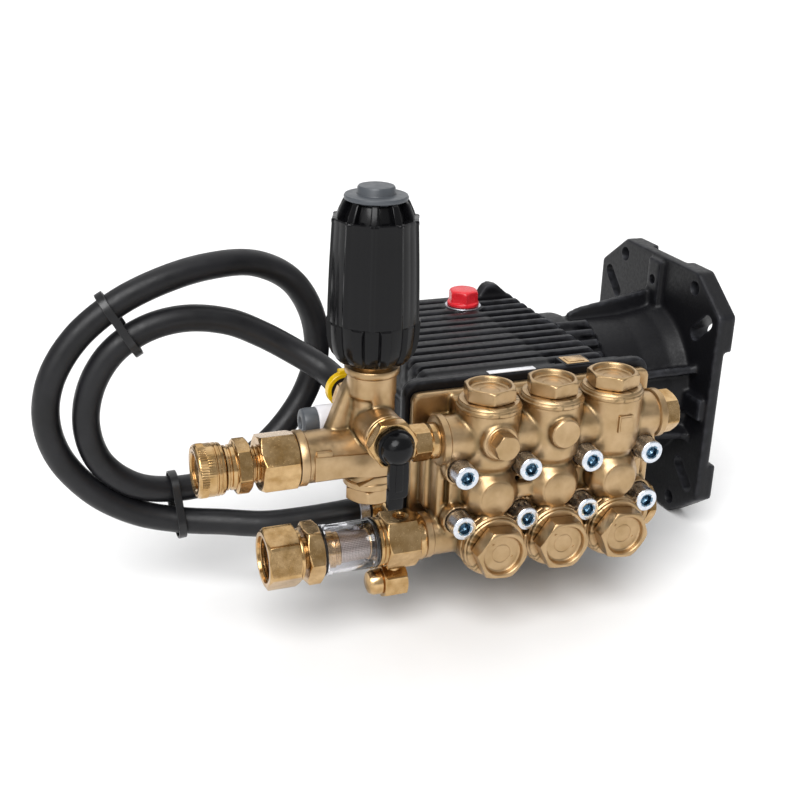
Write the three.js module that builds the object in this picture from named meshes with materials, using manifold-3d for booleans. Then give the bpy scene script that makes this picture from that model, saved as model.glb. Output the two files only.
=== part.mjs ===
// Triplex plunger pump of a pressure washer: brass head, cast crankcase, engine flange, unloader
// with its pressure knob, quick coupler, inlet strainer and looped bypass hose.
// Millimetres, +Z up. Everything is laid out from the head: x = 0 on the middle cylinder, y = 0 on
// the front of the cylinder domes, z = 0 on the plunger axes. The whole group is then shifted so
// that its origin is the centre of the engine face, on the crank axis; +X points at the engine.
import * as THREE from 'three';
import { mergeVertices } from 'three/addons/utils/BufferGeometryUtils.js';
import Module from 'manifold-3d';

const wasm = await Module();
wasm.setup();

// ---- driving dimensions ----
const GAP = 0.3;                 // between parts that touch
const PITCH = 36.5;              // between cylinders
const COLUMNS = [-PITCH, 0, PITCH];
const BOLT_X = [-1.5, -0.5, 0.5, 1.5].map((n) => n * PITCH);
const BOLT_Z = 14.5;             // head bolts above and below the plunger axes
const BOLT_HEAD_R = 6.5;         // M8 socket head
const BOLT_HEAD = 12;            // from the bolt face to the head's seat
const BOLT_SHANK_R = 4;
const TOWER_Y = 18.2;            // delivery towers, discharge gallery, outlet and knob
const GALLERY_Z = 30;            // discharge gallery and outlet axis
const TOWER_TOP = 50;
const SUCTION_Z = -28;           // suction valve axes
const INLET_Y = 22;              // inlet gallery and strainer axis
const INLET_Z = -26.5;
const OUTLET = [TOWER_Y, GALLERY_Z];
const INLET = [INLET_Y, INLET_Z];
const GAUGE_PORT = [-PITCH, 32];  // X and Z of the plugged port on the first tower
const PLATE_FRONT = 36.5;         // back plate of the head
const PLATE_BACK = 42;
const PLUNGER_R = 9;             // 18 mm plungers
const CRANK_Y = 138.9;
const CRANK = [CRANK_Y, 0];      // Y and Z of the crank axis
const THROW = 6;                 // crank offset, half of the 12 mm stroke
const ROD_LENGTH = 62;
const CASE_BACK = 190;
const CASE_TOP = 50;
const CASE_HALF = 58;
const FLANGE_FRONT = 138.3;
const FLANGE_WEB = 8;
const ENGINE_FACE = 151.3;
const FLANGE_HALF = [70, 82];    // half width, half height
const BOLT_CIRCLE_R = 82.55;     // 165.1 mm bolt circle
const BOLT_ANGLES = [30, 150, 210, 330];
const SLOT_ANGLES = [47, 133, 227, 313];
const RIB_ANGLES = [-4, 67, 113, 180, 247, 293];
const SHAFT_BORE_R = 12.7;       // 25.4 mm engine shaft
const KNOB_X = -101.7;
const PORT_Z = 46;               // lever port and bypass port
const KNOB = [KNOB_X, TOWER_Y];
const PORT = [KNOB_X, PORT_Z];
const HOSE_R = 7.25;
const CAP_FLATS = 25;            // valve caps
const CAP_RECESS_R = 10.6;
const OIL_FILLER = [14, 167];    // X and Y of the oil cap
const ROUND = 12;                // sides of a round piece
const SMALL = 8;                 // sides of a small round piece

// Bypass hose from the port behind the unloader, twice round its loop and back to the inlet.
const HOSE_ROUTE = [
  [-101.7, 58.3, 46], [-101.7, 69, 46], [-107, 81, 51], [-120, 90, 59], [-137, 95, 69], [-155, 98, 77],
  [-177, 98.5, 80.5], [-198, 98, 77], [-216, 98, 66], [-228, 98, 48], [-232, 98, 26], [-226, 98, 4],
  [-209, 98, -12], [-187, 100, -18.5], [-163, 103, -18], [-141, 108, -9], [-121, 112, 6], [-106, 116, 25],
  [-99, 118, 47], [-102, 118, 71], [-115, 116, 92], [-137, 112, 104], [-163, 108, 105], [-189, 104, 100],
  [-213, 102, 90], [-234, 101, 74], [-248, 100, 53], [-252, 100, 30], [-246, 100, 7], [-230, 99, -14],
  [-209, 97, -28], [-186, 93, -34.5], [-163, 86, -36], [-142, 75, -35], [-122, 64, -30], [-104, 56.5, -25.5],
  [-95, 55, -24], [-88.3, 55, -24],
];
const HOSE_STEPS = 44;
// Each tie holds the two turns together: the middle of each turn there, and the way the hose runs.
const TIES = [
  { inner: [-207.3, 98, 72], outer: [-216.3, 101.9, 87.6], along: [-0.84, 0, -0.54] },
  { inner: [-187, 100, -18.5], outer: [-186, 93, -34.5], along: [1, -0.07, -0.12] },
];

// ---- materials ----
const finish = (name, colour, roughness, metalness, more = {}) =>
  new THREE.MeshStandardMaterial({ name, color: colour, roughness, metalness, flatShading: true, ...more });
const FORGED = finish('forged_brass', '#b8955a', 0.45, 0.9);
const TURNED = finish('turned_brass', '#c8a25c', 0.28, 0.95);
const CAST = finish('black_cast', '#232427', 0.6, 0.2);
const ZINC = finish('zinc_steel', '#b9bcc0', 0.3, 0.9);
const STEEL = finish('ground_steel', '#8f9296', 0.35, 0.9);
const CERAMIC = finish('plunger_ceramic', '#e9e6dc', 0.25, 0);
const BLACK = finish('black_plastic', '#151517', 0.45, 0);
const RED = finish('red_plastic', '#d8232a', 0.4, 0);
const RUBBER = finish('black_rubber', '#1b1b1d', 0.6, 0);
const CLEAR = finish('clear_bowl', '#dfe0e6', 0.08, 0, { transparent: true, opacity: 0.45 });
const YELLOW = finish('yellow_band', '#e8c117', 0.35, 0.2);
const MESH = finish('steel_mesh', '#a7a9ac', 0.4, 0.8);
const WHITE = finish('white_plastic', '#e4e2e4', 0.4, 0);

// ---- solids ----
function solid(geometry) {
  const bare = geometry.index ? geometry.toNonIndexed() : geometry.clone();
  bare.deleteAttribute('normal');
  bare.deleteAttribute('uv');
  const merged = mergeVertices(bare, 1e-4);
  const vertProperties = new Float32Array(merged.attributes.position.array);
  const corners = [];
  let volume = 0;
  const at = (i) => new THREE.Vector3().fromArray(vertProperties, 3 * i);
  for (let i = 0; i < merged.index.count; i += 3) {
    const [a, b, c] = [0, 1, 2].map((k) => merged.index.getX(i + k));
    if (a === b || b === c || c === a) continue;
    corners.push([a, b, c]);
    volume += at(a).dot(at(b).cross(at(c)));
  }
  const outward = volume < 0 ? corners.map(([a, b, c]) => [a, c, b]) : corners;
  const triVerts = new Uint32Array(outward.flat());
  return new wasm.Manifold(new wasm.Mesh({ numProp: 3, vertProperties, triVerts }));
}

const union = (first, ...others) => others.reduce((whole, other) => whole.add(other), first);
const cut = (first, ...others) => others.reduce((whole, other) => whole.subtract(other), first);

// A geometry made along local Y is laid along a world axis through centre, the other two
// coordinates in X, Y, Z order.
function along(axis, centre, geometry) {
  if (axis === 'x') return geometry.rotateZ(-Math.PI / 2).translate(0, centre[0], centre[1]);
  if (axis === 'z') return geometry.rotateX(Math.PI / 2).translate(centre[0], centre[1], 0);
  return geometry.translate(centre[0], 0, centre[1]);
}

// A turned solid: profile rows are [radius, place along the axis], from axis to axis.
function turned(axis, centre, profile, sides = ROUND, start = 0) {
  const points = profile.map(([r, t]) => new THREE.Vector2(r, t));
  return solid(along(axis, centre, new THREE.LatheGeometry(points, sides, start)));
}

const bar = (axis, centre, from, to, r, sides = ROUND, start = 0) =>
  turned(axis, centre, [[0, from], [r, from], [r, to], [0, to]], sides, start);

const hexagon = (axis, centre, from, to, flats, start = 0) =>
  bar(axis, centre, from, to, flats / Math.sqrt(3), 6, start);

const ring = (axis, centre, from, to, inner, outer, sides = ROUND) =>
  cut(bar(axis, centre, from, to, outer, sides), bar(axis, centre, from - 1, to + 1, inner, sides));

function block(x0, x1, y0, y1, z0, z1) {
  const geometry = new THREE.BoxGeometry(x1 - x0, y1 - y0, z1 - z0);
  return solid(geometry.translate((x0 + x1) / 2, (y0 + y1) / 2, (z0 + z1) / 2));
}

// A flat outline of [X, Z] points made solid from y = from to y = to.
function plateY(points, from, to) {
  const outline = new THREE.Shape(points.map(([x, z]) => new THREE.Vector2(x, z)));
  const slab = new THREE.ExtrudeGeometry(outline, { depth: to - from, bevelEnabled: false, curveSegments: 4 });
  return solid(slab.rotateX(Math.PI / 2).translate(0, to, 0));
}

// A flat outline of [Y, Z] points made solid from x = from to x = to.
function plateX(points, from, to) {
  const outline = new THREE.Shape(points.map(([y, z]) => new THREE.Vector2(y, z)));
  const slab = new THREE.ExtrudeGeometry(outline, { depth: to - from, bevelEnabled: false });
  const turn = new THREE.Matrix4().makeBasis(
    new THREE.Vector3(0, 1, 0), new THREE.Vector3(0, 0, 1), new THREE.Vector3(1, 0, 0));
  return solid(slab.applyMatrix4(turn).translate(from, 0, 0));
}

// A rectangle's corners rounded with a few points each.
function rounded(u0, u1, v0, v1, r, steps = 3) {
  const points = [];
  const corners = [[u1 - r, v0 + r, -90], [u1 - r, v1 - r, 0], [u0 + r, v1 - r, 90], [u0 + r, v0 + r, 180]];
  for (const [u, v, first] of corners) {
    for (let k = 0; k <= steps; k += 1) {
      const a = THREE.MathUtils.degToRad(first + (90 * k) / steps);
      points.push([u + r * Math.cos(a), v + r * Math.sin(a)]);
    }
  }
  return points;
}

// Turns a solid about the crank axis, from +Y towards +Z.
const turnedAbout = (thing, degrees) =>
  thing.translate([0, -CRANK_Y, 0]).rotate([degrees, 0, 0]).translate([0, CRANK_Y, 0]);

const pump = new THREE.Group();
pump.name = 'pressure_washer_pump';
const laidOut = new THREE.Group();
laidOut.position.set(-ENGINE_FACE, -CRANK_Y, 0);
pump.add(laidOut);

function add(name, thing, material) {
  const { vertProperties, triVerts } = thing.getMesh();
  const geometry = new THREE.BufferGeometry();
  geometry.setAttribute('position', new THREE.BufferAttribute(vertProperties, 3));
  geometry.setIndex(new THREE.BufferAttribute(triVerts, 1));
  const mesh = new THREE.Mesh(geometry, material);
  mesh.name = name;
  laidOut.add(mesh);
}

// ---- head ----
const CAP_SHANK_R = 10.5;
const VALVE_BORE_R = CAP_SHANK_R + GAP;
const PLUNGER_BORE_R = PLUNGER_R + 0.4;
const HEAD_END = 66;             // half length of the discharge gallery
const INLET_ENDS = [-71, 63];    // of the inlet gallery
const INLET_SPIGOT_R = 8.2;
const PLUG_SHANK_R = 6;

function head() {
  const plate = plateY(rounded(-71.5, 71.5, -47, 48.5, 5, 2), PLATE_FRONT, PLATE_BACK);
  const body = block(-62, 62, 16, PLATE_FRONT + 1, -38, 34);
  const root = PLATE_FRONT + 1;
  const dome = [[0, 0], [9.8, 0], [14.6, 7], [14.6, root], [0, root]];
  const tower = [[0, 5], [9, 6], [16.4, 15], [17.4, TOWER_TOP], [0, TOWER_TOP]];
  const suction = [[0, -1], [16.6, -1], [18.1, 6], [18.1, root], [0, root]];
  const parts = [
    body,
    bar('x', OUTLET, -HEAD_END, HEAD_END, 12.6),
    bar('x', INLET, ...INLET_ENDS, 12),
  ];
  for (const x of COLUMNS) {
    parts.push(turned('y', [x, 0], dome));
    parts.push(turned('z', [x, TOWER_Y], tower));
    parts.push(turned('y', [x, SUCTION_Z], suction));
  }
  for (const x of BOLT_X) {
    for (const z of [BOLT_Z, -BOLT_Z]) parts.push(bar('y', [x, z], BOLT_HEAD + GAP, root, 8.2, SMALL));
  }
  parts.push(bar('y', [0, 33], -2, 10, 8.5), bar('y', GAUGE_PORT, -0.6, 10, 9.5));
  const bores = [
    bar('x', OUTLET, -HEAD_END - 1, HEAD_END + 1, PLUG_SHANK_R + GAP, SMALL),
    bar('x', INLET, INLET_ENDS[0] - 1, INLET_ENDS[1] + 1, 4.8, SMALL),
  ];
  bores.push(bar('x', INLET, INLET_ENDS[0] - 1, INLET_ENDS[0] + 9, INLET_SPIGOT_R + GAP));
  bores.push(bar('x', INLET, INLET_ENDS[1] - 9, INLET_ENDS[1] + 1, PLUG_SHANK_R + GAP, SMALL));
  for (const x of COLUMNS) {
    bores.push(bar('y', [x, 0], 8.6, PLATE_BACK + 1, PLUNGER_BORE_R));
    bores.push(bar('z', [x, TOWER_Y], -20, TOWER_TOP + 1, 7, SMALL));
    bores.push(bar('z', [x, TOWER_Y], 16, TOWER_TOP + 1, VALVE_BORE_R));
    bores.push(bar('y', [x, SUCTION_Z], -2, 24, VALVE_BORE_R));
    bores.push(bar('y', [x, SUCTION_Z], 20, 34, 7, SMALL));
  }
  for (const x of BOLT_X) {
    for (const z of [BOLT_Z, -BOLT_Z]) {
      bores.push(bar('y', [x, z], 0, PLATE_BACK + 1, BOLT_SHANK_R + GAP, SMALL));
      bores.push(bar('y', [x, z], -6, BOLT_HEAD + GAP, BOLT_HEAD_R + 0.7, SMALL));
    }
  }
  bores.push(bar('y', GAUGE_PORT, -1, 8, 3.8, SMALL));
  return cut(union(plate, ...parts), ...bores);
}
add('manifold_head', head(), FORGED);

const BOLT = [
  [0, 0], [BOLT_HEAD_R - 0.6, 0], [BOLT_HEAD_R, 0.6], [BOLT_HEAD_R, BOLT_HEAD],
  [BOLT_SHANK_R, BOLT_HEAD], [BOLT_SHANK_R, 60], [0, 60],
];
for (const [row, z] of [['upper', BOLT_Z], ['lower', -BOLT_Z]]) {
  BOLT_X.forEach((x, i) => {
    const bolt = cut(turned('y', [x, z], BOLT, SMALL), hexagon('y', [x, z], -1, 4.5, 6));
    add(`head_bolt_${row}_${i + 1}`, bolt, ZINC);
  });
}

// Screwed caps over the valves: a hexagon with a round recess, on a hollow shank.
COLUMNS.forEach((x, i) => {
  const tower = [x, TOWER_Y];
  const top = TOWER_TOP + GAP;
  const delivery = union(hexagon('z', tower, top, 58, CAP_FLATS, 0.2), bar('z', tower, 40, top + 1, CAP_SHANK_R));
  const deliveryHollows = [bar('z', tower, 54.8, 59, CAP_RECESS_R), bar('z', tower, 39, 47, 7, SMALL)];
  add(`delivery_cap_${i + 1}`, cut(delivery, ...deliveryHollows), FORGED);

  const barrel = [x, SUCTION_Z];
  const suctionHex = hexagon('y', barrel, -10.9, -1 - GAP, CAP_FLATS + 1, 0.5);
  const suction = union(suctionHex, bar('y', barrel, -2, 9, CAP_SHANK_R));
  const suctionHollows = [bar('y', barrel, -12, -7.7, CAP_RECESS_R), bar('y', barrel, 2, 10, 7, SMALL)];
  add(`suction_cap_${i + 1}`, cut(suction, ...suctionHollows), FORGED);
});

// Spring-loaded check valves: a disc on a short guide stem.
const VALVE = [[0, 2], [2.5, 2], [2.5, 8], [9, 8], [9, 11], [2.5, 11], [2.5, 16], [0, 16]];
const DELIVERY_VALVE = VALVE.map(([r, t]) => [r, t + 8.3]);
const SUCTION_VALVE = VALVE.map(([r, t]) => [r, 31.7 - t]);
COLUMNS.forEach((x, i) => {
  add(`delivery_valve_${i + 1}`, turned('z', [x, TOWER_Y], DELIVERY_VALVE, SMALL), STEEL);
  add(`suction_valve_${i + 1}`, turned('y', [x, SUCTION_Z], SUCTION_VALVE, SMALL), STEEL);
});

const gaugePlug = union(hexagon('y', GAUGE_PORT, -8, -0.6 - GAP, 14), bar('y', GAUGE_PORT, -1, 7, 3.4, SMALL));
add('gauge_port_plug', gaugePlug, FORGED);
const dischargeHex = hexagon('x', OUTLET, HEAD_END + GAP, 75, 21, 0.3);
add('discharge_plug', union(dischargeHex, bar('x', OUTLET, 58, 67, PLUG_SHANK_R, SMALL)), FORGED);
const inletHexPlug = hexagon('x', INLET, INLET_ENDS[1] + GAP, 68.7, 24);
add('inlet_plug', union(inletHexPlug, bar('x', INLET, INLET_ENDS[1] - 8, 65, PLUG_SHANK_R, SMALL)), FORGED);

// ---- crankcase ----
const CASE_FRONT = PLATE_BACK + GAP;
const CASE_BOTTOM = -50;
const GUIDE_R = 15.8;            // crosshead guides
const OIL_SHANK_R = 7;
const FINS = 12;
const FIN_PITCH = 10.7;
const FIN = [[-CASE_HALF, 40], [CASE_HALF, 40], [57, 44], [50, CASE_TOP], [-50, CASE_TOP], [-57, 44]];

function crankcase() {
  const flange = plateY(rounded(-74.5, 74.5, -51, 53, 12), CASE_FRONT, 54);
  const body = block(-CASE_HALF, CASE_HALF, 50, CASE_BACK, CASE_BOTTOM, 43);
  const parts = [flange, body];
  for (let i = 0; i < FINS; i += 1) {
    const y = 62 + FIN_PITCH * i;
    parts.push(plateY(FIN, y, y + 6));
  }
  parts.push(bar('z', OIL_FILLER, 40, 50, 10.5));
  for (const y of [68, 150]) parts.push(block(-CASE_HALF, CASE_HALF, y, y + 24, -57, -49));
  const openings = [
    block(-52, 52, 100, CASE_BACK - 6, -44, 37),
    block(-46, 46, CASE_BACK - 8, CASE_BACK + 1, -38, 32),
    bar('x', CRANK, -CASE_HALF - 1, -50, 26),
    bar('x', CRANK, 50, CASE_HALF + 1, 30),
    bar('z', OIL_FILLER, 36, 51, OIL_SHANK_R + 0.8),
  ];
  for (const x of COLUMNS) openings.push(bar('y', [x, 0], CASE_FRONT - 1, 102, GUIDE_R));
  for (const x of BOLT_X) {
    for (const z of [BOLT_Z, -BOLT_Z]) {
      openings.push(bar('y', [x, z], CASE_FRONT - 1, 61, BOLT_SHANK_R + GAP, SMALL));
    }
  }
  return cut(union(...parts), ...openings);
}
add('crankcase', crankcase(), CAST);

const coverSeat = -CASE_HALF - GAP;
const leftCover = [
  [0, -66], [30, -66], [33, -62], [33, coverSeat], [25.4, coverSeat], [25.4, -52], [22, -52], [22, -60], [0, -60],
];
add('side_cover', turned('x', CRANK, leftCover), CAST);

const coverFace = CASE_BACK + 6;
const GLASS_R = 9;
const rearPlate = plateY(rounded(-54, 54, -46, 40, 8), CASE_BACK + GAP, coverFace);
add('rear_cover', cut(rearPlate, bar('y', [0, 0], CASE_BACK - 1, coverFace + 1, GLASS_R + GAP)), CAST);
const glass = [
  [0, CASE_BACK - 3], [GLASS_R, CASE_BACK - 3], [GLASS_R, coverFace + GAP],
  [12, coverFace + GAP], [12, coverFace + 3], [0, coverFace + 3],
];
add('oil_sight_glass', turned('y', [0, 0], glass), CLEAR);

const oilCapFlange = bar('z', OIL_FILLER, CASE_TOP + GAP, 52.5, 10.2);
const oilCapShank = bar('z', OIL_FILLER, 41, 51, OIL_SHANK_R);
add('oil_cap', union(oilCapFlange, oilCapShank, hexagon('z', OIL_FILLER, 52, 61, 17)), RED);

// ---- engine flange ----
const HUB = CASE_HALF + GAP;

function engineFlange() {
  const [w, h] = FLANGE_HALF;
  const corners = [[-w, -61], [-42, -h], [42, -h], [w, -61], [w, 61], [42, h], [-42, h], [-w, 61]];
  const outline = corners.map(([y, z]) => [y + CRANK_Y, z]);
  const web = plateX(outline, FLANGE_FRONT, FLANGE_FRONT + FLANGE_WEB);
  const thick = plateX(outline, FLANGE_FRONT, ENGINE_FACE);
  const waist = FLANGE_FRONT + FLANGE_WEB;
  const across = block(waist, ENGINE_FACE + 1, 0, 300, -38, 38);
  const upright = block(waist, ENGINE_FACE + 1, CRANK_Y - 20, CRANK_Y + 20, -90, 90);
  const pads = cut(thick, across, upright);
  const bell = [
    [0, HUB], [47, HUB], [47, 70], [43.5, 76], [44.5, 110], [50, FLANGE_FRONT], [50, FLANGE_FRONT + 4],
    [0, FLANGE_FRONT + 4],
  ];
  const rim = bar('x', CRANK, FLANGE_FRONT, ENGINE_FACE, 52);
  const parts = [web, pads, rim, turned('x', CRANK, bell)];
  for (const angle of RIB_ANGLES) {
    parts.push(turnedAbout(block(84, FLANGE_FRONT + 2, CRANK_Y - 2.5, CRANK_Y + 2.5, 40, 57), angle));
  }
  parts.push(block(FLANGE_FRONT - 4, FLANGE_FRONT + 4, CRANK_Y - 7, CRANK_Y + 7, 46, 80));
  const through = [FLANGE_FRONT - 1, ENGINE_FACE + 1];
  const recess = [[0, 120], [36, 120], [45, 134], [45, ENGINE_FACE + 1], [0, ENGINE_FACE + 1]];
  const openings = [
    bar('x', CRANK, HUB - 1, 66, 30),
    bar('x', CRANK, 60, ENGINE_FACE + 1, 36),
    turned('x', CRANK, recess),
    bar('x', [CRANK_Y, 66], FLANGE_FRONT - 6, ENGINE_FACE + 1, 3.2, SMALL),
  ];
  for (const angle of BOLT_ANGLES) {
    openings.push(turnedAbout(bar('x', [CRANK_Y, BOLT_CIRCLE_R], ...through, 4.4, SMALL), angle));
  }
  const slot = rounded(CRANK_Y - 4.5, CRANK_Y + 4.5, 60, 85, 4.4, 2);
  for (const angle of SLOT_ANGLES) {
    openings.push(turnedAbout(plateX(slot, ...through), angle));
  }
  return cut(union(...parts), ...openings);
}

add('engine_flange', engineFlange(), CAST);

// ---- crank, rods and plungers ----
const PIN_R = 12;
const WEB_R = 19;
const PHASES = [90, 210, 330];
const PLUNGER = [
  [0, 16], [PLUNGER_R - 1, 16], [PLUNGER_R, 17], [PLUNGER_R, 52],
  [15.4, 54], [15.4, 92], [14, 92], [14, 58], [0, 58],
];
const pinAt = (i) => {
  const a = THREE.MathUtils.degToRad(PHASES[i]);
  return [CRANK_Y + THROW * Math.cos(a), THROW * Math.sin(a)];
};

function crankshaft() {
  const parts = [bar('x', CRANK, -57, -47, 12.5)];
  for (const [from, to] of [[-50, -48], [-25, -11.5], [11.5, 25], [48, 50]]) {
    parts.push(bar('x', CRANK, from, to, WEB_R));
  }
  COLUMNS.forEach((x, i) => parts.push(bar('x', pinAt(i), x - 12, x + 12, PIN_R)));
  parts.push(bar('x', CRANK, 49, 130, 18));
  const keyway = block(70, 131, CRANK_Y - 3.2, CRANK_Y + 3.2, 10, 15.6);
  return cut(union(...parts), bar('x', CRANK, 66, 131, SHAFT_BORE_R), keyway);
}
add('crankshaft', crankshaft(), STEEL);

COLUMNS.forEach((x, i) => {
  const [py, pz] = pinAt(i);
  const small = py - ROD_LENGTH;
  const bigEnd = bar('x', [py, pz], x - 10.5, x + 10.5, 18.5);
  const shank = block(x - 4.5, x + 4.5, small, py - 14, pz - 4.5, pz + 4.5);
  const rod = union(bigEnd, shank, bar('x', [small, pz], x - 5, x + 5, 6, SMALL));
  add(`connecting_rod_${i + 1}`, cut(rod, bar('x', [py, pz], x - 12, x + 12, PIN_R + 0.4)), STEEL);
  const shift = THROW * Math.cos(THREE.MathUtils.degToRad(PHASES[i]));
  add(`plunger_${i + 1}`, turned('y', [x, 0], PLUNGER.map(([r, t]) => [r, t + shift])), CERAMIC);
});

// ---- unloader ----
const ARM_END = -141.6;
const BACK_BOSS = 45.7;
const REAR_CAP = [38, 40];        // Y and Z of the check valve cap's axis
const KNOB_BOTTOM = 78;
const UNLOADER_PLUG_R = 7;
const PORT_SPIGOT_R = 4;

function unloader() {
  const barrel = [
    [0, 12], [13.7, 12], [13.7, 15.5], [12.5, 16.5], [12.5, 52], [11, 56], [11, 60], [12.4, 61], [12.4, 71],
    [13.7, 72], [13.7, 75.5], [9.9, 75.5], [9.9, 90], [0, 90],
  ];
  const arm = [
    [0, ARM_END], [14.2, ARM_END], [14.2, ARM_END + 4], [13.4, ARM_END + 5], [13.4, KNOB_X], [11, KNOB_X],
    [11, -86], [0, -86],
  ];
  const parts = [
    turned('z', KNOB, barrel),
    turned('x', OUTLET, arm),
    bar('y', PORT, -6, TOWER_Y, 11.5),
    bar('y', PORT, TOWER_Y, BACK_BOSS, 10),
    bar('x', REAR_CAP, -112, KNOB_X, 6.5, SMALL),
  ];
  const bores = [
    bar('z', KNOB, 20, 91, 8, SMALL),
    bar('z', KNOB, 11, 26, UNLOADER_PLUG_R + GAP, SMALL),
    bar('x', OUTLET, ARM_END - 1, -85, PLUG_SHANK_R + GAP, SMALL),
    bar('y', PORT, -7, BACK_BOSS + 1, PORT_SPIGOT_R + GAP, SMALL),
  ];
  return cut(union(...parts), ...bores);
}
add('unloader_body', unloader(), FORGED);
const bottomPlugShank = bar('z', KNOB, 11, 20, UNLOADER_PLUG_R, SMALL);
add('unloader_bottom_plug', union(hexagon('z', KNOB, 4, 12 - GAP, 23), bottomPlugShank), FORGED);
const piston = [[0, 24], [5, 24], [7.6, 27], [7.6, 36], [3, 37], [3, 62], [0, 62]];
add('unloader_piston', turned('z', KNOB, piston, SMALL), STEEL);
const springSeat = [[0, 93], [7.4, 93], [7.4, 104], [4, 104], [4, 152], [0, 152]];
add('spring_seat', turned('z', KNOB, springSeat, SMALL), TURNED);

const knobShell = [
  [0, 160], [14, 160], [15.5, 158.5], [19.5, 150], [20.5, 149.5], [20.5, 147], [22.8, 100], [22.8, 98], [21, 84],
  [14, KNOB_BOTTOM], [10.6, KNOB_BOTTOM], [10.6, 106], [4.6, 106], [4.6, 155], [0, 155],
];
add('pressure_knob', turned('z', KNOB, knobShell), BLACK);

const nippleTube = bar('x', OUTLET, -93, -54, PLUG_SHANK_R, SMALL);
const nippleHex = hexagon('x', OUTLET, -80, -HEAD_END - GAP, 17, 0.1);
add('discharge_nipple', union(nippleTube, nippleHex, bar('x', OUTLET, -86 + GAP, -79, 10)), TURNED);

const bonnetHex = hexagon('y', PORT, -15, -8, 22);
const bonnetShank = bar('y', PORT, -7, 10, PORT_SPIGOT_R, SMALL);
add('valve_bonnet', union(bonnetHex, bonnetShank, bar('y', PORT, -8.5, -6 - GAP, 12)), TURNED);

const leverCap = turned('y', PORT, [[0, -26], [5, -25], [8, -21.5], [8.4, -15 - GAP], [0, -15 - GAP]]);
const leverArm = block(KNOB_X - 4.6, KNOB_X + 4.6, -23, -18, 22, PORT_Z);
const leverTip = block(KNOB_X - 5.4, KNOB_X + 3, -22.4, -18.6, 15, 26);
add('valve_lever', union(leverCap, leverArm, leverTip), BLACK);

const barbHex = hexagon('y', PORT, BACK_BOSS + GAP, 53, 17);
add('bypass_barb', union(barbHex, bar('y', PORT, 30, 58, PORT_SPIGOT_R, SMALL)), TURNED);
add('check_valve_cap', cut(bar('x', REAR_CAP, -133, -112 - GAP, 8), bar('x', REAR_CAP, -134, -128, 3, 6)), WHITE);

// ---- outlet coupler ----
const COUPLER_TAIL_R = 6.2;
const outletHex = hexagon('x', OUTLET, -160.6, ARM_END - GAP, 27, 0.3);
const outletShank = bar('x', OUTLET, ARM_END - 1, -127, PLUG_SHANK_R, SMALL);
const outletBore = bar('x', OUTLET, -162, -147, COUPLER_TAIL_R + 0.4, SMALL);
add('outlet_nut', cut(union(outletHex, outletShank), outletBore), TURNED);

const couplerTail = bar('x', OUTLET, -166, -149, COUPLER_TAIL_R, SMALL);
const couplerBarrel = [[0, -190], [8.6, -190], [8.6, -178], [11.3, -178], [11.3, -172], [0, -172]];
const coupler = union(couplerTail, hexagon('x', OUTLET, -173, -164, 24, 0.15), turned('x', OUTLET, couplerBarrel));
const couplerBores = [bar('x', OUTLET, -191, -164, 5.8, SMALL), bar('x', OUTLET, -165, -148, 4, SMALL)];
add('coupler_body', cut(coupler, ...couplerBores), TURNED);
const sleeve = [
  [9, -192], [12.6, -192], [13.5, -190.8], [13.5, -179], [12.8, -178.4], [11.7, -178.4], [11.7, -182.8],
  [9, -182.8], [9, -192],
];
add('coupler_sleeve', turned('x', OUTLET, sleeve), TURNED);

// ---- inlet strainer ----
const inletBar = (from, to, r, sides) => bar('x', INLET, from, to, r, sides);
const inletHex = (from, to, flats, start) => hexagon('x', INLET, from, to, flats, start);
const nut = union(inletHex(-157.6, -140, 29, 0.25), inletBar(-141, -138.2, 13.4));
add('inlet_nut', cut(nut, inletBar(-158.6, -142, 12), inletBar(-143, -137, 9)), TURNED);
const strainerCap = union(inletHex(-136.6, -127.7, 29, 0.1), inletBar(-147, -135, 8.6), inletBar(-128.7, -119, 10.8));
add('strainer_cap', cut(strainerCap, inletBar(-148, -118, 6.5)), TURNED);
add('strainer_bowl', ring('x', INLET, -126.2, -97.4, 11.2, 13.6), CLEAR);
add('strainer_screen', cut(inletBar(-118.6, -99, 8), inletBar(-117, -98, 7.2)), MESH);

const ELBOW_X = -80;             // hose elbow behind the inlet fitting
const ELBOW_Y = 55;
const ELBOW_Z = -24;
const HOSE_END_X = -88;
const FITTING_HEX = [-93, -74.8];
const fitting = union(
  inletHex(...FITTING_HEX, 27, Math.PI / 6),
  inletBar(-97, -92, 13.2),
  inletBar(-75.8, INLET_ENDS[0] - GAP, 13.2),
  inletBar(-73, INLET_ENDS[0] + 8, INLET_SPIGOT_R),
  bar('y', [ELBOW_X, ELBOW_Z], 31, ELBOW_Y, 4.6, SMALL),
  bar('x', [ELBOW_Y, ELBOW_Z], HOSE_END_X, ELBOW_X + 4, 6.5),
);
const gaugeTap = bar('z', [-82.5, INLET_Y], -20, -9, 3.4, SMALL);
add('inlet_fitting', cut(fitting, inletBar(-98, -62, 6.5), gaugeTap), TURNED);
const RELIEF = [INLET_Y, -50.6];
const reliefStub = bar('z', [-86, INLET_Y], -47, INLET_Z - 13.5 - GAP, 4.5, SMALL);
const reliefCup = bar('x', RELIEF, -101, -92, 7);
add('relief_valve', union(reliefStub, reliefCup, hexagon('x', RELIEF, -92.6, -79.6, 17)), TURNED);

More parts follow.
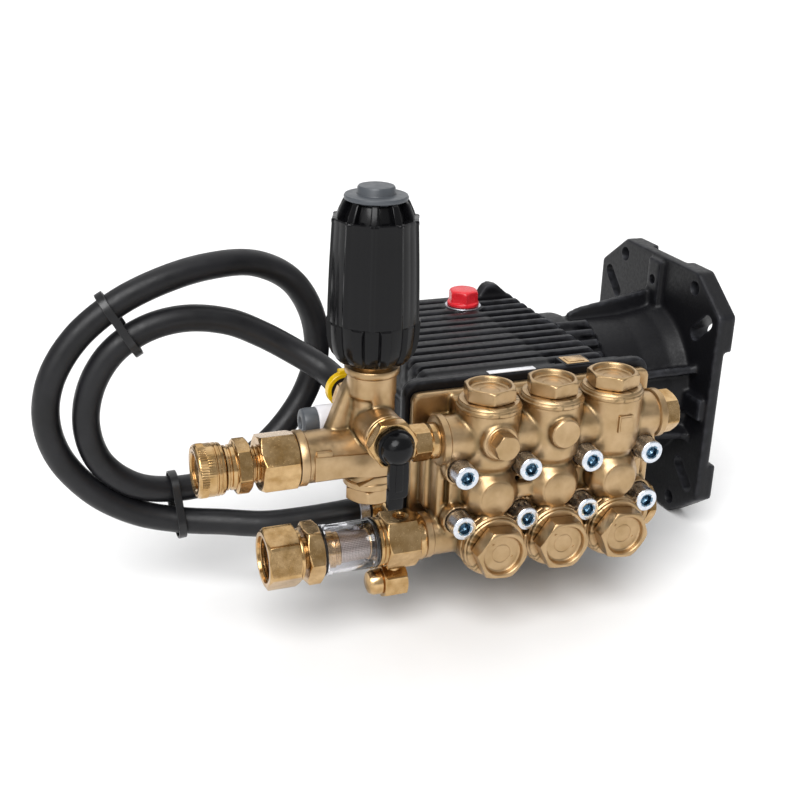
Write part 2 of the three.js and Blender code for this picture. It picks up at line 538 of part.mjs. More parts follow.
// ---- bypass hose and what is on it ----
function hose() {
  const points = HOSE_ROUTE.map((p) => new THREE.Vector3(...p));
  const path = new THREE.CatmullRomCurve3(points, false, 'catmullrom', 0.5);
  const section = new THREE.Shape();
  for (let k = 0; k < 8; k += 1) {
    const a = (k / 8) * 2 * Math.PI;
    section[k ? 'lineTo' : 'moveTo'](HOSE_R * Math.cos(a), HOSE_R * Math.sin(a));
  }
  const sweep = { steps: HOSE_STEPS, extrudePath: path, bevelEnabled: false };
  return solid(new THREE.ExtrudeGeometry(section, sweep));
}
add('bypass_hose', hose(), RUBBER);
add('hose_clamp', ring('y', PORT, 58.8, 63.8, HOSE_R + 1.1, HOSE_R + 2.4), YELLOW);

function cableTie({ inner, outer, along: run }) {
  const [a, b] = [new THREE.Vector3(...inner), new THREE.Vector3(...outer)];
  const across = b.clone().sub(a);
  const half = across.length() / 2;
  const facing = new THREE.Vector3(...run).cross(across).normalize();
  across.normalize();
  const forward = across.clone().cross(facing);
  const loop = (r) => rounded(-half - r, half + r, -r, r, r * 0.999, 2).map(([u, v]) => new THREE.Vector2(u, v));
  const section = new THREE.Shape(loop(HOSE_R + 3.2));
  section.holes.push(new THREE.Path(loop(HOSE_R + 2)));
  const place = new THREE.Matrix4().makeBasis(across, facing, forward).setPosition(a.lerp(b, 0.5));
  const band = new THREE.ExtrudeGeometry(section, { depth: 4, bevelEnabled: false });
  return solid(band.translate(0, 0, -2).applyMatrix4(place));
}
TIES.forEach((tie, i) => add(`cable_tie_${i + 1}`, cableTie(tie), BLACK));

export default pump;
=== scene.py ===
"""Looks of a triplex pressure washer pump, laid out as an add-on: brass head, crankcase, engine flange,
unloader, coupler, inlet strainer and bypass hose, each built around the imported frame. Shapes are drawn in
millimetres from the front of the middle cylinder's dome, on the plunger axes: X along the crank towards the
engine, Y to the back, Z up.
"""

import math

import bmesh
import bpy
from mathutils import Matrix, Vector


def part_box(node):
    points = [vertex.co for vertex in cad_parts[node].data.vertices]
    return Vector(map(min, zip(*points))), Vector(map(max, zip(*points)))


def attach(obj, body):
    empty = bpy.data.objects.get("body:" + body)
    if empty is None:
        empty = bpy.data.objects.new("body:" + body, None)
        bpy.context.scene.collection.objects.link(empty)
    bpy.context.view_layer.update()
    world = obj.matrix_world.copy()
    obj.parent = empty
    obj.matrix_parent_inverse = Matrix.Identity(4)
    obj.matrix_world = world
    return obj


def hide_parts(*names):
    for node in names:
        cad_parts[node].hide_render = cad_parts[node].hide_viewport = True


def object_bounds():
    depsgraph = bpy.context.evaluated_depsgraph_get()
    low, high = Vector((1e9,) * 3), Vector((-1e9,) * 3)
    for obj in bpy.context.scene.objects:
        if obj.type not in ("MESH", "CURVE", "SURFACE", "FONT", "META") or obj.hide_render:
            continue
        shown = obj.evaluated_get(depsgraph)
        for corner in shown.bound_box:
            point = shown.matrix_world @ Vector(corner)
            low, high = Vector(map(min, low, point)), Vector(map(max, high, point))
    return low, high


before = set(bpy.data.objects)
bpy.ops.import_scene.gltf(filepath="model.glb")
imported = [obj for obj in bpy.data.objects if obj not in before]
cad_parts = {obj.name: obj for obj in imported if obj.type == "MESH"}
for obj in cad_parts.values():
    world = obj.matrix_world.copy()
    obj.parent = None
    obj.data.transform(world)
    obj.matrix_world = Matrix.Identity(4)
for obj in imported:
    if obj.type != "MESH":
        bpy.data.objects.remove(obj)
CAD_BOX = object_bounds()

bl_info = {
    "name": "Pressure washer pump",
    "version": (1, 0, 0),
    "blender": (4, 5, 0),
    "location": "3D View > Sidebar > Pump",
    "description": "Brass head, crankcase, unloader, coupler, strainer and hose around a packed pump frame",
    "category": "Add Mesh",
}

# ---- where things are, in millimetres from the head's origin ----
HEAD_LOW, HEAD_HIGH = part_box("manifold_head")
FRONT_BOSS = 2.0  # the middle boss stands this far before the domes
ORIGIN = Vector(((HEAD_LOW.x + HEAD_HIGH.x) / 2, HEAD_LOW.y + FRONT_BOSS / 1000, 0))
PITCH = 36.5
COLUMNS = (-PITCH, 0, PITCH)
BOLT_X = (-1.5 * PITCH, -0.5 * PITCH, 0.5 * PITCH, 1.5 * PITCH)
BOLT_Z = 14.5
TOWER_Y = 18.2
GALLERY_Z = 30
OUTLET = (TOWER_Y, GALLERY_Z)
SUCTION_Z = -28
INLET = (22, -26.5)
ELBOW = (55, -24)
RELIEF = (22, -50.6)
CRANK = (138.9, 0)
KNOB_X = -101.7
KNOB = (KNOB_X, TOWER_Y)
PORT = (KNOB_X, 46)
OIL = (14, 167)
GAUGE = (-PITCH, 32)
CHECK_VALVE = (38, 40)
FIN_PITCH = 10.7
FIN_COUNT = 12
FLANGE_BOLTS_R = 82.55
SCREEN_R = 8
SCREEN_PITCH = 0.9
CAP_RECESS = 3.2
FLOOR_RADIUS = 14.0
TOWARDS_CAMERA = math.radians(-111.8)  # about Z, from +X

# Bypass hose: out of the port behind the unloader, twice round its loop and into the elbow on the inlet.
HOSE_ROUTE = [
    (-101.7, 58.3, 46), (-101.7, 69, 46), (-107, 81, 51), (-120, 90, 59), (-137, 95, 69), (-155, 98, 77),
    (-177, 98.5, 80.5), (-198, 98, 77), (-216, 98, 66), (-228, 98, 48), (-232, 98, 26), (-226, 98, 4),
    (-209, 98, -12), (-187, 100, -18.5), (-163, 103, -18), (-141, 108, -9), (-121, 112, 6), (-106, 116, 25),
    (-99, 118, 47), (-102, 118, 71), (-115, 116, 92), (-137, 112, 104), (-163, 108, 105), (-189, 104, 100),
    (-213, 102, 90), (-234, 101, 74), (-248, 100, 53), (-252, 100, 30), (-246, 100, 7), (-230, 99, -14),
    (-209, 97, -28), (-186, 93, -34.5), (-163, 86, -36), (-142, 75, -35), (-122, 64, -30), (
        -104, 56.5, -25.5,
    ),
    (-95, 55, -24), (-88.3, 55, -24),
]
TIES = [
    {"inner": (-207.3, 98, 72), "outer": (-216.3, 101.9, 87.6), "along": (-0.84, 0, -0.54)},
    {"inner": (-187, 100, -18.5), "outer": (-186, 93, -34.5), "along": (1, -0.07, -0.12)},
]


# ---- shapes ----
def placed(axis, centre):
    """The move from a shape made along local Z to one along a world axis through centre."""
    columns = {
        "x": ((0, 1, 0), (0, 0, 1), (1, 0, 0)),
        "y": ((0, 0, 1), (1, 0, 0), (0, 1, 0)),
        "z": ((1, 0, 0), (0, 1, 0), (0, 0, 1)),
    }[axis]
    a, b = centre
    move = Matrix(columns).transposed().to_4x4()
    move.translation = {"x": (0, a, b), "y": (a, 0, b), "z": (a, b, 0)}[axis]
    return move


def merge(bm, made, move=None, finish=0):
    """Adds one bmesh to another, moved, with its faces on material finish."""
    if move is not None:
        bmesh.ops.transform(made, matrix=move, verts=made.verts)
    for face in made.faces:
        face.material_index = finish
    mesh = bpy.data.meshes.new("merge")
    made.to_mesh(mesh)
    made.free()
    bm.from_mesh(mesh)
    bpy.data.meshes.remove(mesh)


def round_edges(bm, amount, segments=2, sharper=30):
    """Bevels the edges that are sharper than an angle in degrees."""
    edges = [e for e in bm.edges if e.is_manifold and e.calc_face_angle() > math.radians(sharper)]
    bmesh.ops.bevel(
        bm, geom=edges, offset=amount, offset_type="OFFSET", segments=segments, profile=0.5,
        affect="EDGES", clamp_overlap=True, material=-1,
    )


def turned(bm, axis, centre, profile, sides=72, start=0.0, finish=0, bevel=0.0, shape=None):
    """Spins rows of (radius, place) about an axis. A third number in a row cuts it to a hexagon of that many
    millimetres across flats, with a corner at start. shape(angle, radius, place) may change a radius then."""
    made = bmesh.new()
    rows = [made.verts.new((r * math.cos(start), r * math.sin(start), t)) for r, t, *_ in profile]
    for a, b in zip(rows, rows[1:]):
        made.edges.new((a, b))
    if profile[0][0] > 0:
        made.edges.new((rows[-1], rows[0]))
    bmesh.ops.spin(
        made, geom=made.verts[:] + made.edges[:], cent=(0, 0, 0), axis=(0, 0, 1),
        angle=2 * math.pi, steps=sides, use_merge=True,
    )
    bmesh.ops.remove_doubles(made, verts=made.verts, dist=1e-4)
    flats = {(round(r, 3), round(t, 3)): cut[0] for r, t, *cut in profile if cut}
    for v in made.verts:
        radius = math.hypot(v.co.x, v.co.y)
        if radius < 1e-6:
            continue
        angle = math.atan2(v.co.y, v.co.x)
        wanted = radius
        across = flats.get((round(radius, 3), round(v.co.z, 3)))
        if across:
            wanted = min(wanted, across / 2 / math.cos((angle - start) % (math.pi / 3) - math.pi / 6))
        if shape:
            wanted = shape(angle, wanted, v.co.z)
        v.co.x *= wanted / radius
        v.co.y *= wanted / radius
    bmesh.ops.recalc_face_normals(made, faces=made.faces)
    if bevel:
        round_edges(made, bevel)
    merge(bm, made, placed(axis, centre), finish)


def bar(bm, axis, centre, low, high, radius, sides=72, finish=0, bevel=0.0):
    turned(bm, axis, centre, [(0, low), (radius, low), (radius, high), (0, high)], sides, 0.0, finish, bevel)


def hexagon(bm, axis, centre, low, high, flats, start=0.0, finish=0, chamfer=(1, 1), bore=0.0, bevel=0.25):
    """A hexagon of bar with its ends turned down, as a nut's are; chamfer says which ends."""
    inner, corner = flats / 2, flats / math.sqrt(3) + 0.05
    drop = (corner - inner) * math.tan(math.radians(30))
    cone = [(inner * 0.97, 0.0)] + [(inner + (corner - inner) * k / 4, drop * k / 4, flats) for k in range(5)]
    rows = [(bore, low)]
    rows += [(r, low + t, *c) for r, t, *c in cone] if chamfer[0] else [(corner, low, flats)]
    rows += [(r, high - t, *c) for r, t, *c in reversed(cone)] if chamfer[1] else [(corner, high, flats)]
    rows += [(bore, high)]
    turned(bm, axis, centre, rows, 72, start, finish, bevel)


def thread(bm, axis, centre, low, high, radius, pitch, depth, inside=False, finish=0):
    """Ridges of a thread between two places; inside makes them stand in from a bore."""
    sign = -1 if inside else 1
    rows = []
    count = max(1, round((high - low) / pitch))
    step = (high - low) / count
    for k in range(count):
        t = low + k * step
        rows += [(radius, t + 0.1 * step), (radius + sign * depth, t + 0.4 * step)]
        rows += [(radius + sign * depth, t + 0.6 * step), (radius, t + 0.9 * step)]
    base = radius - sign * 1.2
    turned(bm, axis, centre, [(base, low), *rows, (base, high)], 60, 0.0, finish)


def prism(bm, axis, outline, low, high, bevel=0.0, segments=2, finish=0, move=None):
    """A flat outline of the other two coordinates, in X, Y, Z order, made solid from low to high."""
    made = bmesh.new()
    at = {"x": lambda u, v: (low, u, v), "y": lambda u, v: (u, low, v), "z": lambda u, v: (u, v, low)}[axis]
    face = made.faces.new([made.verts.new(at(u, v)) for u, v in outline])
    grown = bmesh.ops.extrude_face_region(made, geom=[face])
    away = Vector([float(a == axis) for a in "xyz"]) * (high - low)
    bmesh.ops.translate(made, vec=away, verts=[g for g in grown["geom"] if isinstance(g, bmesh.types.BMVert)])
    bmesh.ops.recalc_face_normals(made, faces=made.faces)
    if bevel:
        round_edges(made, bevel, segments)
    merge(bm, made, move, finish)


def block(bm, x, y, z, bevel=0.0, segments=2, finish=0, move=None):
    prism(
        bm, "z", [(x[0], y[0]), (x[1], y[0]), (x[1], y[1]), (x[0], y[1])], z[0], z[1], bevel, segments,
        finish, move,
    )


def rounded(u0, u1, v0, v1, r, steps=5):
    """A rectangle's outline with round corners."""
    points = []
    for u, v, first in (
        (u1 - r, v0 + r, -90), (u1 - r, v1 - r, 0), (u0 + r, v1 - r, 90), (u0 + r, v0 + r, 180),
    ):
        for k in range(steps + 1):
            a = math.radians(first + 90 * k / steps)
            points.append((u + r * math.cos(a), v + r * math.sin(a)))
    return points


def about(axis, centre, degrees):
    """A turn about a line along a world axis."""
    place = placed(axis, centre).translation
    turn = Matrix.Rotation(math.radians(degrees), 4, axis.upper())
    return Matrix.Translation(place) @ turn @ Matrix.Translation(-place)


def evaluated(bm, *steps):
    """Replaces bm with itself after modifiers: each step is a type and its settings."""
    mesh = bpy.data.meshes.new("pattern")
    bm.to_mesh(mesh)
    pattern = bpy.data.objects.new("pattern", mesh)
    bpy.context.scene.collection.objects.link(pattern)
    for kind, settings in steps:
        modifier = pattern.modifiers.new(kind.lower(), kind)
        for name, value in settings.items():
            setattr(modifier, name, value)
    done = bpy.data.meshes.new_from_object(pattern.evaluated_get(bpy.context.evaluated_depsgraph_get()))
    bm.clear()
    bm.from_mesh(done)
    bpy.data.objects.remove(pattern)
    bpy.data.meshes.remove(mesh)
    bpy.data.meshes.remove(done)


def cast(bm, voxel, relax):
    """Fuses overlapping solids into one skin and relaxes it, which gives it the fillets of a casting."""
    evaluated(
        bm,
        ("REMESH", {"mode": "VOXEL", "voxel_size": voxel}),
        ("SMOOTH", {"factor": 0.5, "iterations": relax}),
    )


def bored(bm, cutter):
    """Cuts a bmesh of bores out of a casting, as machining does."""
    mesh = bpy.data.meshes.new("bores")
    cutter.to_mesh(mesh)
    cutter.free()
    bores = bpy.data.objects.new("bores", mesh)
    bpy.context.scene.collection.objects.link(bores)
    evaluated(bm, ("BOOLEAN", {"operation": "DIFFERENCE", "solver": "EXACT", "object": bores}))
    bpy.data.objects.remove(bores)
    bpy.data.meshes.remove(mesh)


def mark_relief(bm, passes):
    """Writes a vertex attribute that is over 0.5 on outer edges and under it in corners.
    With no passes it is 0.5 all over."""
    relief = bm.verts.layers.float.new("relief")
    if not passes:
        for v in bm.verts:
            v[relief] = 0.5
        return
    bm.normal_update()
    bm.verts.ensure_lookup_table()
    bend = []
    for v in bm.verts:
        steps = [(e.other_vert(v).co - v.co).normalized().dot(v.normal) for e in v.link_edges]
        bend.append(-sum(steps) / max(1, len(steps)))
    for _ in range(passes):
        bend = [
            (bend[v.index] + sum(bend[e.other_vert(v).index] for e in v.link_edges)) / (1 + len(v.link_edges))
            for v in bm.verts
        ]
    for v in bm.verts:
        v[relief] = min(1.0, max(0.0, 0.5 + 3.0 * bend[v.index]))


def finished(name, bm, finishes, node=None, body="pump_body", crease=35, relief=False):
    """Moves a piece into the row frame in metres, smooths it to a crease angle and rides it on a body."""
    finishes = [finishes] if isinstance(finishes, str) else finishes
    mark_relief(bm, 3 if relief else 0)
    bmesh.ops.transform(bm, matrix=Matrix.Translation(ORIGIN) @ Matrix.Scale(0.001, 4), verts=bm.verts)
    mesh = bpy.data.meshes.new(name)
    bm.to_mesh(mesh)
    bm.free()
    mesh.shade_smooth()
    mesh.set_sharp_from_angle(angle=math.radians(crease))
    for finish in finishes:
        mesh.materials.append(MATERIALS[finish])
    piece = bpy.data.objects.new(name, mesh)
    bpy.context.scene.collection.objects.link(piece)
    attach(piece, body)
    if node:
        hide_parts(node)
    return piece


# ---- materials ----
def colour(code):
    """An sRGB hex colour as linear RGBA."""
    parts = [int(code[k : k + 2], 16) / 255 for k in (1, 3, 5)]
    return (*[p / 12.92 if p <= 0.04045 else ((p + 0.055) / 1.055) ** 2.4 for p in parts], 1.0)


def per_mm(size):
    """The scale that makes a pattern of one unit this many millimetres across."""
    return 1000.0 / size


def node(tree, kind, inputs=None, **settings):
    """Adds a node with its settings, and a value or a link at each named input."""
    made = tree.nodes.new(kind)
    for name, value in settings.items():
        setattr(made, name, value)
    for name, value in (inputs or {}).items():
        if isinstance(value, bpy.types.NodeSocket):
            tree.links.new(value, made.inputs[name])
        else:
            made.inputs[name].default_value = value
    return made


def surface(name, **constants):
    """A material with one Principled shader and its constants, and its node tree."""
    material = bpy.data.materials.new(name)
    material.use_nodes = True
    tree = material.node_tree
    shader = next(n for n in tree.nodes if n.type == "BSDF_PRINCIPLED")
    for socket, value in constants.items():
        shader.inputs[socket.replace("_", " ")].default_value = value
    return material, tree, shader


def span(tree, factor, low, high):
    """A factor from 0 to 1 laid between two numbers."""
    return node(tree, "ShaderNodeMapRange", {"Value": factor, "To Min": low, "To Max": high}).outputs[
        "Result"
    ]


def blend_colours(tree, factor, first, second):
    mixed = node(tree, "ShaderNodeMix", {"Factor": factor}, data_type="RGBA")
    for socket, value in ((mixed.inputs[6], first), (mixed.inputs[7], second)):
        if isinstance(value, bpy.types.NodeSocket):
            tree.links.new(value, socket)
        else:
            socket.default_value = value
    return mixed.outputs[2]


def noise(tree, size, detail=3.0, coordinates=None):
    """Noise of a real size in millimetres on Object coordinates, stretched to fill 0 to 1."""
    place = coordinates or node(tree, "ShaderNodeTexCoord").outputs["Object"]
    raw = node(tree, "ShaderNodeTexNoise", {"Vector": place, "Scale": per_mm(size), "Detail": detail})
    return node(
        tree, "ShaderNodeMapRange", {"Value": raw.outputs["Fac"], "From Min": 0.3, "From Max": 0.7}
    ).outputs["Result"]


def bump(tree, shader, height, depth_mm, strength=1.0):
    """Lets a height from 0 to 1 stand this many millimetres proud."""
    raised = node(
        tree, "ShaderNodeBump", {"Height": height, "Distance": depth_mm / 1000, "Strength": strength}
    )
    tree.links.new(raised.outputs["Normal"], shader.inputs["Normal"])


def forged_brass(name, light, dark, tarnish_and_shade, grit=0.5):
    """Hot forged brass, shot blasted: matt, finely pitted, in pale patches, and darker in its corners with
    tarnish and painted shade.
    """
    material, tree, shader = surface(name, Metallic=1.0)
    relief = node(tree, "ShaderNodeAttribute", attribute_name="relief", attribute_type="GEOMETRY").outputs[
        "Fac"
    ]
    patch = noise(tree, 9.0)
    body = blend_colours(tree, patch, dark, light)
    # painted shade: inside corners (relief under 0.5) are darkened toward the tarnish colour, standing for
    # tarnish and for shade together
    corner = node(tree, "ShaderNodeMapRange", {"Value": relief, "From Min": 0.25, "From Max": 0.5}).outputs[
        "Result"
    ]
    tarnished_and_shaded = blend_colours(tree, corner, tarnish_and_shade, body)
    tree.links.new(tarnished_and_shaded, shader.inputs["Base Color"])
    tree.links.new(span(tree, noise(tree, 3.0), 0.30, 0.44), shader.inputs["Roughness"])
    bump(tree, shader, noise(tree, grit, 2.0), 0.035, 0.6)
    return material


def machined_brass(name, light, dark, rough=(0.16, 0.28)):
    """Free-cutting brass bar, turned and lightly polished: fine tool lines and a clear warm reflection."""
    material, tree, shader = surface(name, Metallic=1.0)
    patch = noise(tree, 6.0)
    tree.links.new(blend_colours(tree, patch, dark, light), shader.inputs["Base Color"])
    tree.links.new(span(tree, noise(tree, 1.2), *rough), shader.inputs["Roughness"])
    bump(tree, shader, noise(tree, 0.35, 1.0), 0.008, 0.5)
    return material


def painted_casting(name, base, worn):
    """Die-cast aluminium under black powder coat: satin, with a fine orange peel and paler rubbed edges."""
    material, tree, shader = surface(name, Metallic=0.0, Specular_IOR_Level=0.25)
    relief = node(tree, "ShaderNodeAttribute", attribute_name="relief", attribute_type="GEOMETRY").outputs[
        "Fac"
    ]
    edge = node(tree, "ShaderNodeMapRange", {"Value": relief, "From Min": 0.58, "From Max": 0.95}).outputs[
        "Result"
    ]
    rubbed = node(tree, "ShaderNodeMath", {0: edge, 1: noise(tree, 5.0)}, operation="MULTIPLY").outputs[0]
    tree.links.new(blend_colours(tree, rubbed, base, worn), shader.inputs["Base Color"])
    tree.links.new(span(tree, noise(tree, 2.5), 0.36, 0.52), shader.inputs["Roughness"])
    bump(tree, shader, noise(tree, 1.1, 3.0), 0.06, 0.5)
    return material


def moulded_plastic(name, base, rough=(0.3, 0.42), grain=0.7, depth=0.012, shine=0.5):
    """Injection moulded plastic with a fine spark-eroded grain."""
    material, tree, shader = surface(name, Metallic=0.0, IOR=1.5, Specular_IOR_Level=shine)
    shade = blend_colours(tree, noise(tree, 14.0), base, [*(c * 0.86 for c in base[:3]), 1.0])
    tree.links.new(shade, shader.inputs["Base Color"])
    tree.links.new(span(tree, noise(tree, 4.0), *rough), shader.inputs["Roughness"])
    bump(tree, shader, noise(tree, grain, 2.0), depth, 0.5)
    return material


def plated_steel(name, light, dark, rough=(0.18, 0.32)):
    """Zinc plated steel: cool, bright, with a faint mottle in the plating."""
    material, tree, shader = surface(name, Metallic=1.0)
    tree.links.new(blend_colours(tree, noise(tree, 2.0), dark, light), shader.inputs["Base Color"])
    tree.links.new(span(tree, noise(tree, 0.8), *rough), shader.inputs["Roughness"])
    bump(tree, shader, noise(tree, 0.3, 1.0), 0.006, 0.5)
    return material


def hose_rubber(name, base):
    """Extruded EPDM hose cover: satin black with faint scuffs and a slight waviness from the mandrel."""
    material, tree, shader = surface(name, Metallic=0.0, IOR=1.5, Specular_IOR_Level=0.35)
    scuff = noise(tree, 22.0, 4.0)
    tree.links.new(
        blend_colours(tree, scuff, base, colour("#18181b")), shader.inputs["Base Color"]
    )
    tree.links.new(span(tree, noise(tree, 5.0), 0.34, 0.5), shader.inputs["Roughness"])
    bump(tree, shader, noise(tree, 3.0, 2.0), 0.05, 0.4)
    return material


def clear_polycarbonate(name):
    """Moulded polycarbonate: clear with a faint grey cast and a soft haze."""
    material, tree, shader = surface(name, Metallic=0.0, IOR=1.58, Transmission_Weight=1.0)
    shader.inputs["Base Color"].default_value = colour("#f1f1f5")
    tree.links.new(span(tree, noise(tree, 6.0), 0.02, 0.09), shader.inputs["Roughness"])
    return material


def woven_screen(name, wire, gap):
    """Woven stainless screen, drawn about three times coarser than real, so that it shows."""
    material, tree, shader = surface(name, Metallic=1.0)
    place = node(tree, "ShaderNodeTexCoord").outputs["UV"]
    weave = node(tree, "ShaderNodeTexBrick", {
        "Vector": place, "Color1": (0, 0, 0, 1), "Color2": (0, 0, 0, 1), "Mortar": (1, 1, 1, 1),
        "Scale": 1.0, "Mortar Size": 0.16, "Brick Width": 1.0, "Row Height": 1.0, "Mortar Smooth": 0.4,
    }, offset=0.0)
    threads = weave.outputs["Color"]
    tree.links.new(blend_colours(tree, threads, gap, wire), shader.inputs["Base Color"])
    tree.links.new(span(tree, threads, 0.6, 0.3), shader.inputs["Roughness"])
    bump(tree, shader, threads, 0.15, 0.6)
    return material


def build_materials():
    tones = bpy.context.scene.pump_finish
    made = {
        "forged": forged_brass(
            "forged_brass_shot_blasted", tones.brass_light, tones.brass_dark, tones.brass_tarnish_and_shade,
        ),
        "turned": machined_brass("free_cutting_brass_turned", tones.turned_brass, colour("#ab8857")),
        "black": painted_casting("die_cast_aluminium_powder_coated", tones.casting, colour("#36373c")),
        "knob": moulded_plastic("glass_filled_nylon_moulded", colour("#09090b"), (0.16, 0.24), shine=0.22),
        "button": moulded_plastic("grey_nylon_moulded", colour("#4a4e53"), (0.35, 0.5)),
        "red": moulded_plastic("red_nylon_moulded", tones.oil_cap, (0.22, 0.34)),
        "white": moulded_plastic("white_nylon_moulded", colour("#d9d8dc"), (0.3, 0.4)),
        "band": moulded_plastic("yellow_chromate_steel_band", tones.clamp, (0.2, 0.32)),
        "tie": moulded_plastic("black_nylon_tie_moulded", colour("#101012"), (0.28, 0.38)),
        "label": moulded_plastic("white_vinyl_label_printed", colour("#e6e6ea"), (0.25, 0.35), 2.0, 0.004),
        "zinc": plated_steel("zinc_plated_steel_bright", colour("#e4e8ee"), colour("#c6ccd6")),
        "barrel": plated_steel("zinc_plated_steel_drawn", colour("#cfd0d6"), colour("#adaeb6"), (0.24, 0.36)),
        # socket recess of the head bolts: darker blue steel as painted shade in the recess
        "socket": plated_steel("blue_steel_socket_painted_shade", colour("#7f9db2"), colour("#3d5566"), (0.2, 0.35)),
        "steel": plated_steel("ground_alloy_steel", colour("#b4b7bb"), colour("#94979c"), (0.2, 0.32)),
        "ceramic": moulded_plastic("alumina_ceramic_ground", colour("#ece8dd"), (0.08, 0.16), 3.0, 0.002),
        "rubber": hose_rubber("epdm_rubber_extruded", tones.hose),
        "seal": moulded_plastic("nitrile_rubber_moulded", colour("#0d0d0e"), (0.35, 0.5)),
        "clear": clear_polycarbonate("polycarbonate_moulded"),
        "screen": woven_screen("stainless_screen_woven", colour("#efe2d8"), colour("#a08f84")),
    }
    return made


MATERIALS = {}


# ---- head ----
def head_casting():
    """Forged head: three domes, delivery towers and suction barrels on one block between two galleries."""
    bm = bmesh.new()
    prism(bm, "y", rounded(-71.4, 71.4, -46.8, 48.4, 4.5), 36.5, 42, 0.6)
    block(bm, (-61, 61), (20, 38), (-38, 36))
    block(bm, (-58, 58), (15, 21), (-19, 19))
    bar(bm, "x", OUTLET, -66, 66, 12.2)
    bar(bm, "x", INLET, -71, 63, 11.6)
    for x in COLUMNS:
        turned(bm, "y", (x, 0), [(0, 0.6), (9.6, 0.6), (14.2, 6.6), (14.8, 9), (14.8, 37), (0, 37)])
        tower = [(0, 10.2), (9, 10.6), (13.6, 12.6), (16.2, 17), (16.8, 30), (16.9, 46), (0, 46)]
        turned(bm, "z", (x, TOWER_Y), tower)
        turned(bm, "y", (x, SUCTION_Z), [(0, 1.4), (17.6, 1.4), (17.9, 7), (18.2, 37), (0, 37)])
        block(bm, (x - 13, x + 13), (12, 36), (-22, -8))
        block(bm, (x - 14, x + 14), (24, 38), (20, 46), 1.0)
    for x in BOLT_X:
        for z in (BOLT_Z, -BOLT_Z):
            bar(bm, "y", (x, z), 12.6, 37, 8.0)
            turned(bm, "y", (x, z), [(6.9, 9.6), (8.3, 9.6), (8.4, 14), (6.9, 14)])
    bar(bm, "y", (0, 33), -1.6, 10, 8.4)
    turned(bm, "y", GAUGE, [(0, 0.2), (9.4, 0.2), (10.4, 2.5), (10.4, 12), (0, 12)])
    block(bm, (-22, -14.5), (6, 18), (-4.5, 4.5), 0.6)
    for side in (-1, 1):
        block(bm, (side * 62 - 2.5, side * 62 + 2.5), (17, 37), (-16, 22), 1.5)
        block(bm, (side * 66 - 1.2, side * 66 + 1.2), (27, 37), (-14, 20), 0.8)
    cast(bm, 0.95, 3)
    return bm


def head_rings(bm):
    """The turned seats and rings of the head, cut crisp after forging."""
    for x in COLUMNS:
        collar = [
            (9, 45.2), (16.9, 45.2), (17.35, 45.8), (17.4, 47.4), (16.7, 47.9), (16.7, 48.3), (16.3, 49.1),
            (15.7, 49.5), (15.7, 50.2), (9, 50.2),
        ]
        turned(bm, "z", (x, TOWER_Y), collar, 96, bevel=0.15)
        seat = [
            (9, -1.2), (16.0, -1.2), (16.6, -0.6), (16.6, 0.6), (17.1, 1.0), (17.5, 1.4), (17.5, 3.0), (
                17.0, 3.5,
            ),
            (17.0, 3.9), (18.0, 4.4), (18.3, 5.0), (18.3, 6.8), (17.8, 7.4), (9, 7.4),
        ]
        turned(bm, "y", (x, SUCTION_Z), seat, 96, bevel=0.15)
        disc = [(0, 0.05), (8.6, 0.05), (9.3, 0.5), (9.3, 2), (0, 2)]
        turned(bm, "y", (x, 0), disc, 64)
    for side in (-1, 1):
        low, high = sorted((side * 61.6, side * 66.2))
        turned(
            bm, "x", OUTLET,
            [(6, low), (12.6, low), (13.5, low + 0.7), (13.5, high - 0.7), (12.9, high), (6, high)], 72,
        )
    for low, high in ((-71.2, -66.8), (59.6, 63.1)):
        turned(
            bm, "x", INLET,
            [(6, low), (11.8, low), (12.5, low + 0.6), (12.5, high - 0.5), (12, high), (6, high)], 72,
        )
    turned(bm, "y", (0, 33), [(0, -1.9), (7.4, -1.9), (7.9, -1.4), (7.9, 0.4), (0, 0.4)], 64)
    turned(bm, "y", GAUGE, [(3, -0.25), (8.6, -0.25), (8.9, 0.1), (8.9, 1.2), (3, 1.2)], 64)
    panel = rounded(32.2, 40.8, 28.4, 38.2, 0.5)
    prism(bm, "y", panel, 0.4, 2.6, 0.2)
    rim = rounded(33.1, 39.9, 29.3, 37.3, 0.4)
    prism(bm, "y", rim, 0.1, 1.0, 0.15)


def valve_cap(bm, axis, centre, seat, face, flats, corner):
    """A screwed cap: hexagon with soft corners and a round recess, whose floor has a faint turned ring."""
    away = 1 if face > seat else -1
    across = flats / 2
    floor = face - away * CAP_RECESS
    rows = [
        (0, floor), (4.9, floor), (5.15, floor - away * 0.22), (5.4, floor),
        (9.6, floor), (10.5, face - away * 2.6), (10.8, face - away * 1.0), (11.3, face - away * 0.15),
        (11.7, face), (across - 0.3, face),
        (across + 0.55, face - away * 0.28, flats), (across + 1.2, face - away * 0.7, flats),
        (across + 1.75, face - away * 1.15, flats), (across + 2.1, face - away * 1.7, flats),
        (across + 2.1, seat + away * 0.9, flats), (across + 0.9, seat + away * 0.35, flats),
        (across - 0.2, seat), (0, seat),
    ]
    turned(bm, axis, centre, rows, 96, corner, bevel=0.12)


def valve_caps():
    tops = (-103.8, -110.0, -99.0)
    fronts = (96.0, 94.0, 98.0)
    for k, x in enumerate(COLUMNS):
        bm = bmesh.new()
        valve_cap(bm, "z", (x, TOWER_Y), 50.3, 58, 25, math.radians(tops[k]))
        finished(f"delivery_cap_{k + 1}_forged", bm, "forged", node=f"delivery_cap_{k + 1}", crease=28)
        bm = bmesh.new()
        valve_cap(bm, "y", (x, SUCTION_Z), -1.4, -10.8, 26, math.radians(fronts[k]))
        for angle in (130, 335):
            a = math.radians(angle)
            bar(bm, "y", (x + 7.2 * math.cos(a), SUCTION_Z + 7.2 * math.sin(a)), -7.9, -7.2, 0.7, 16)
        finished(f"suction_cap_{k + 1}_forged", bm, "forged", node=f"suction_cap_{k + 1}", crease=28)


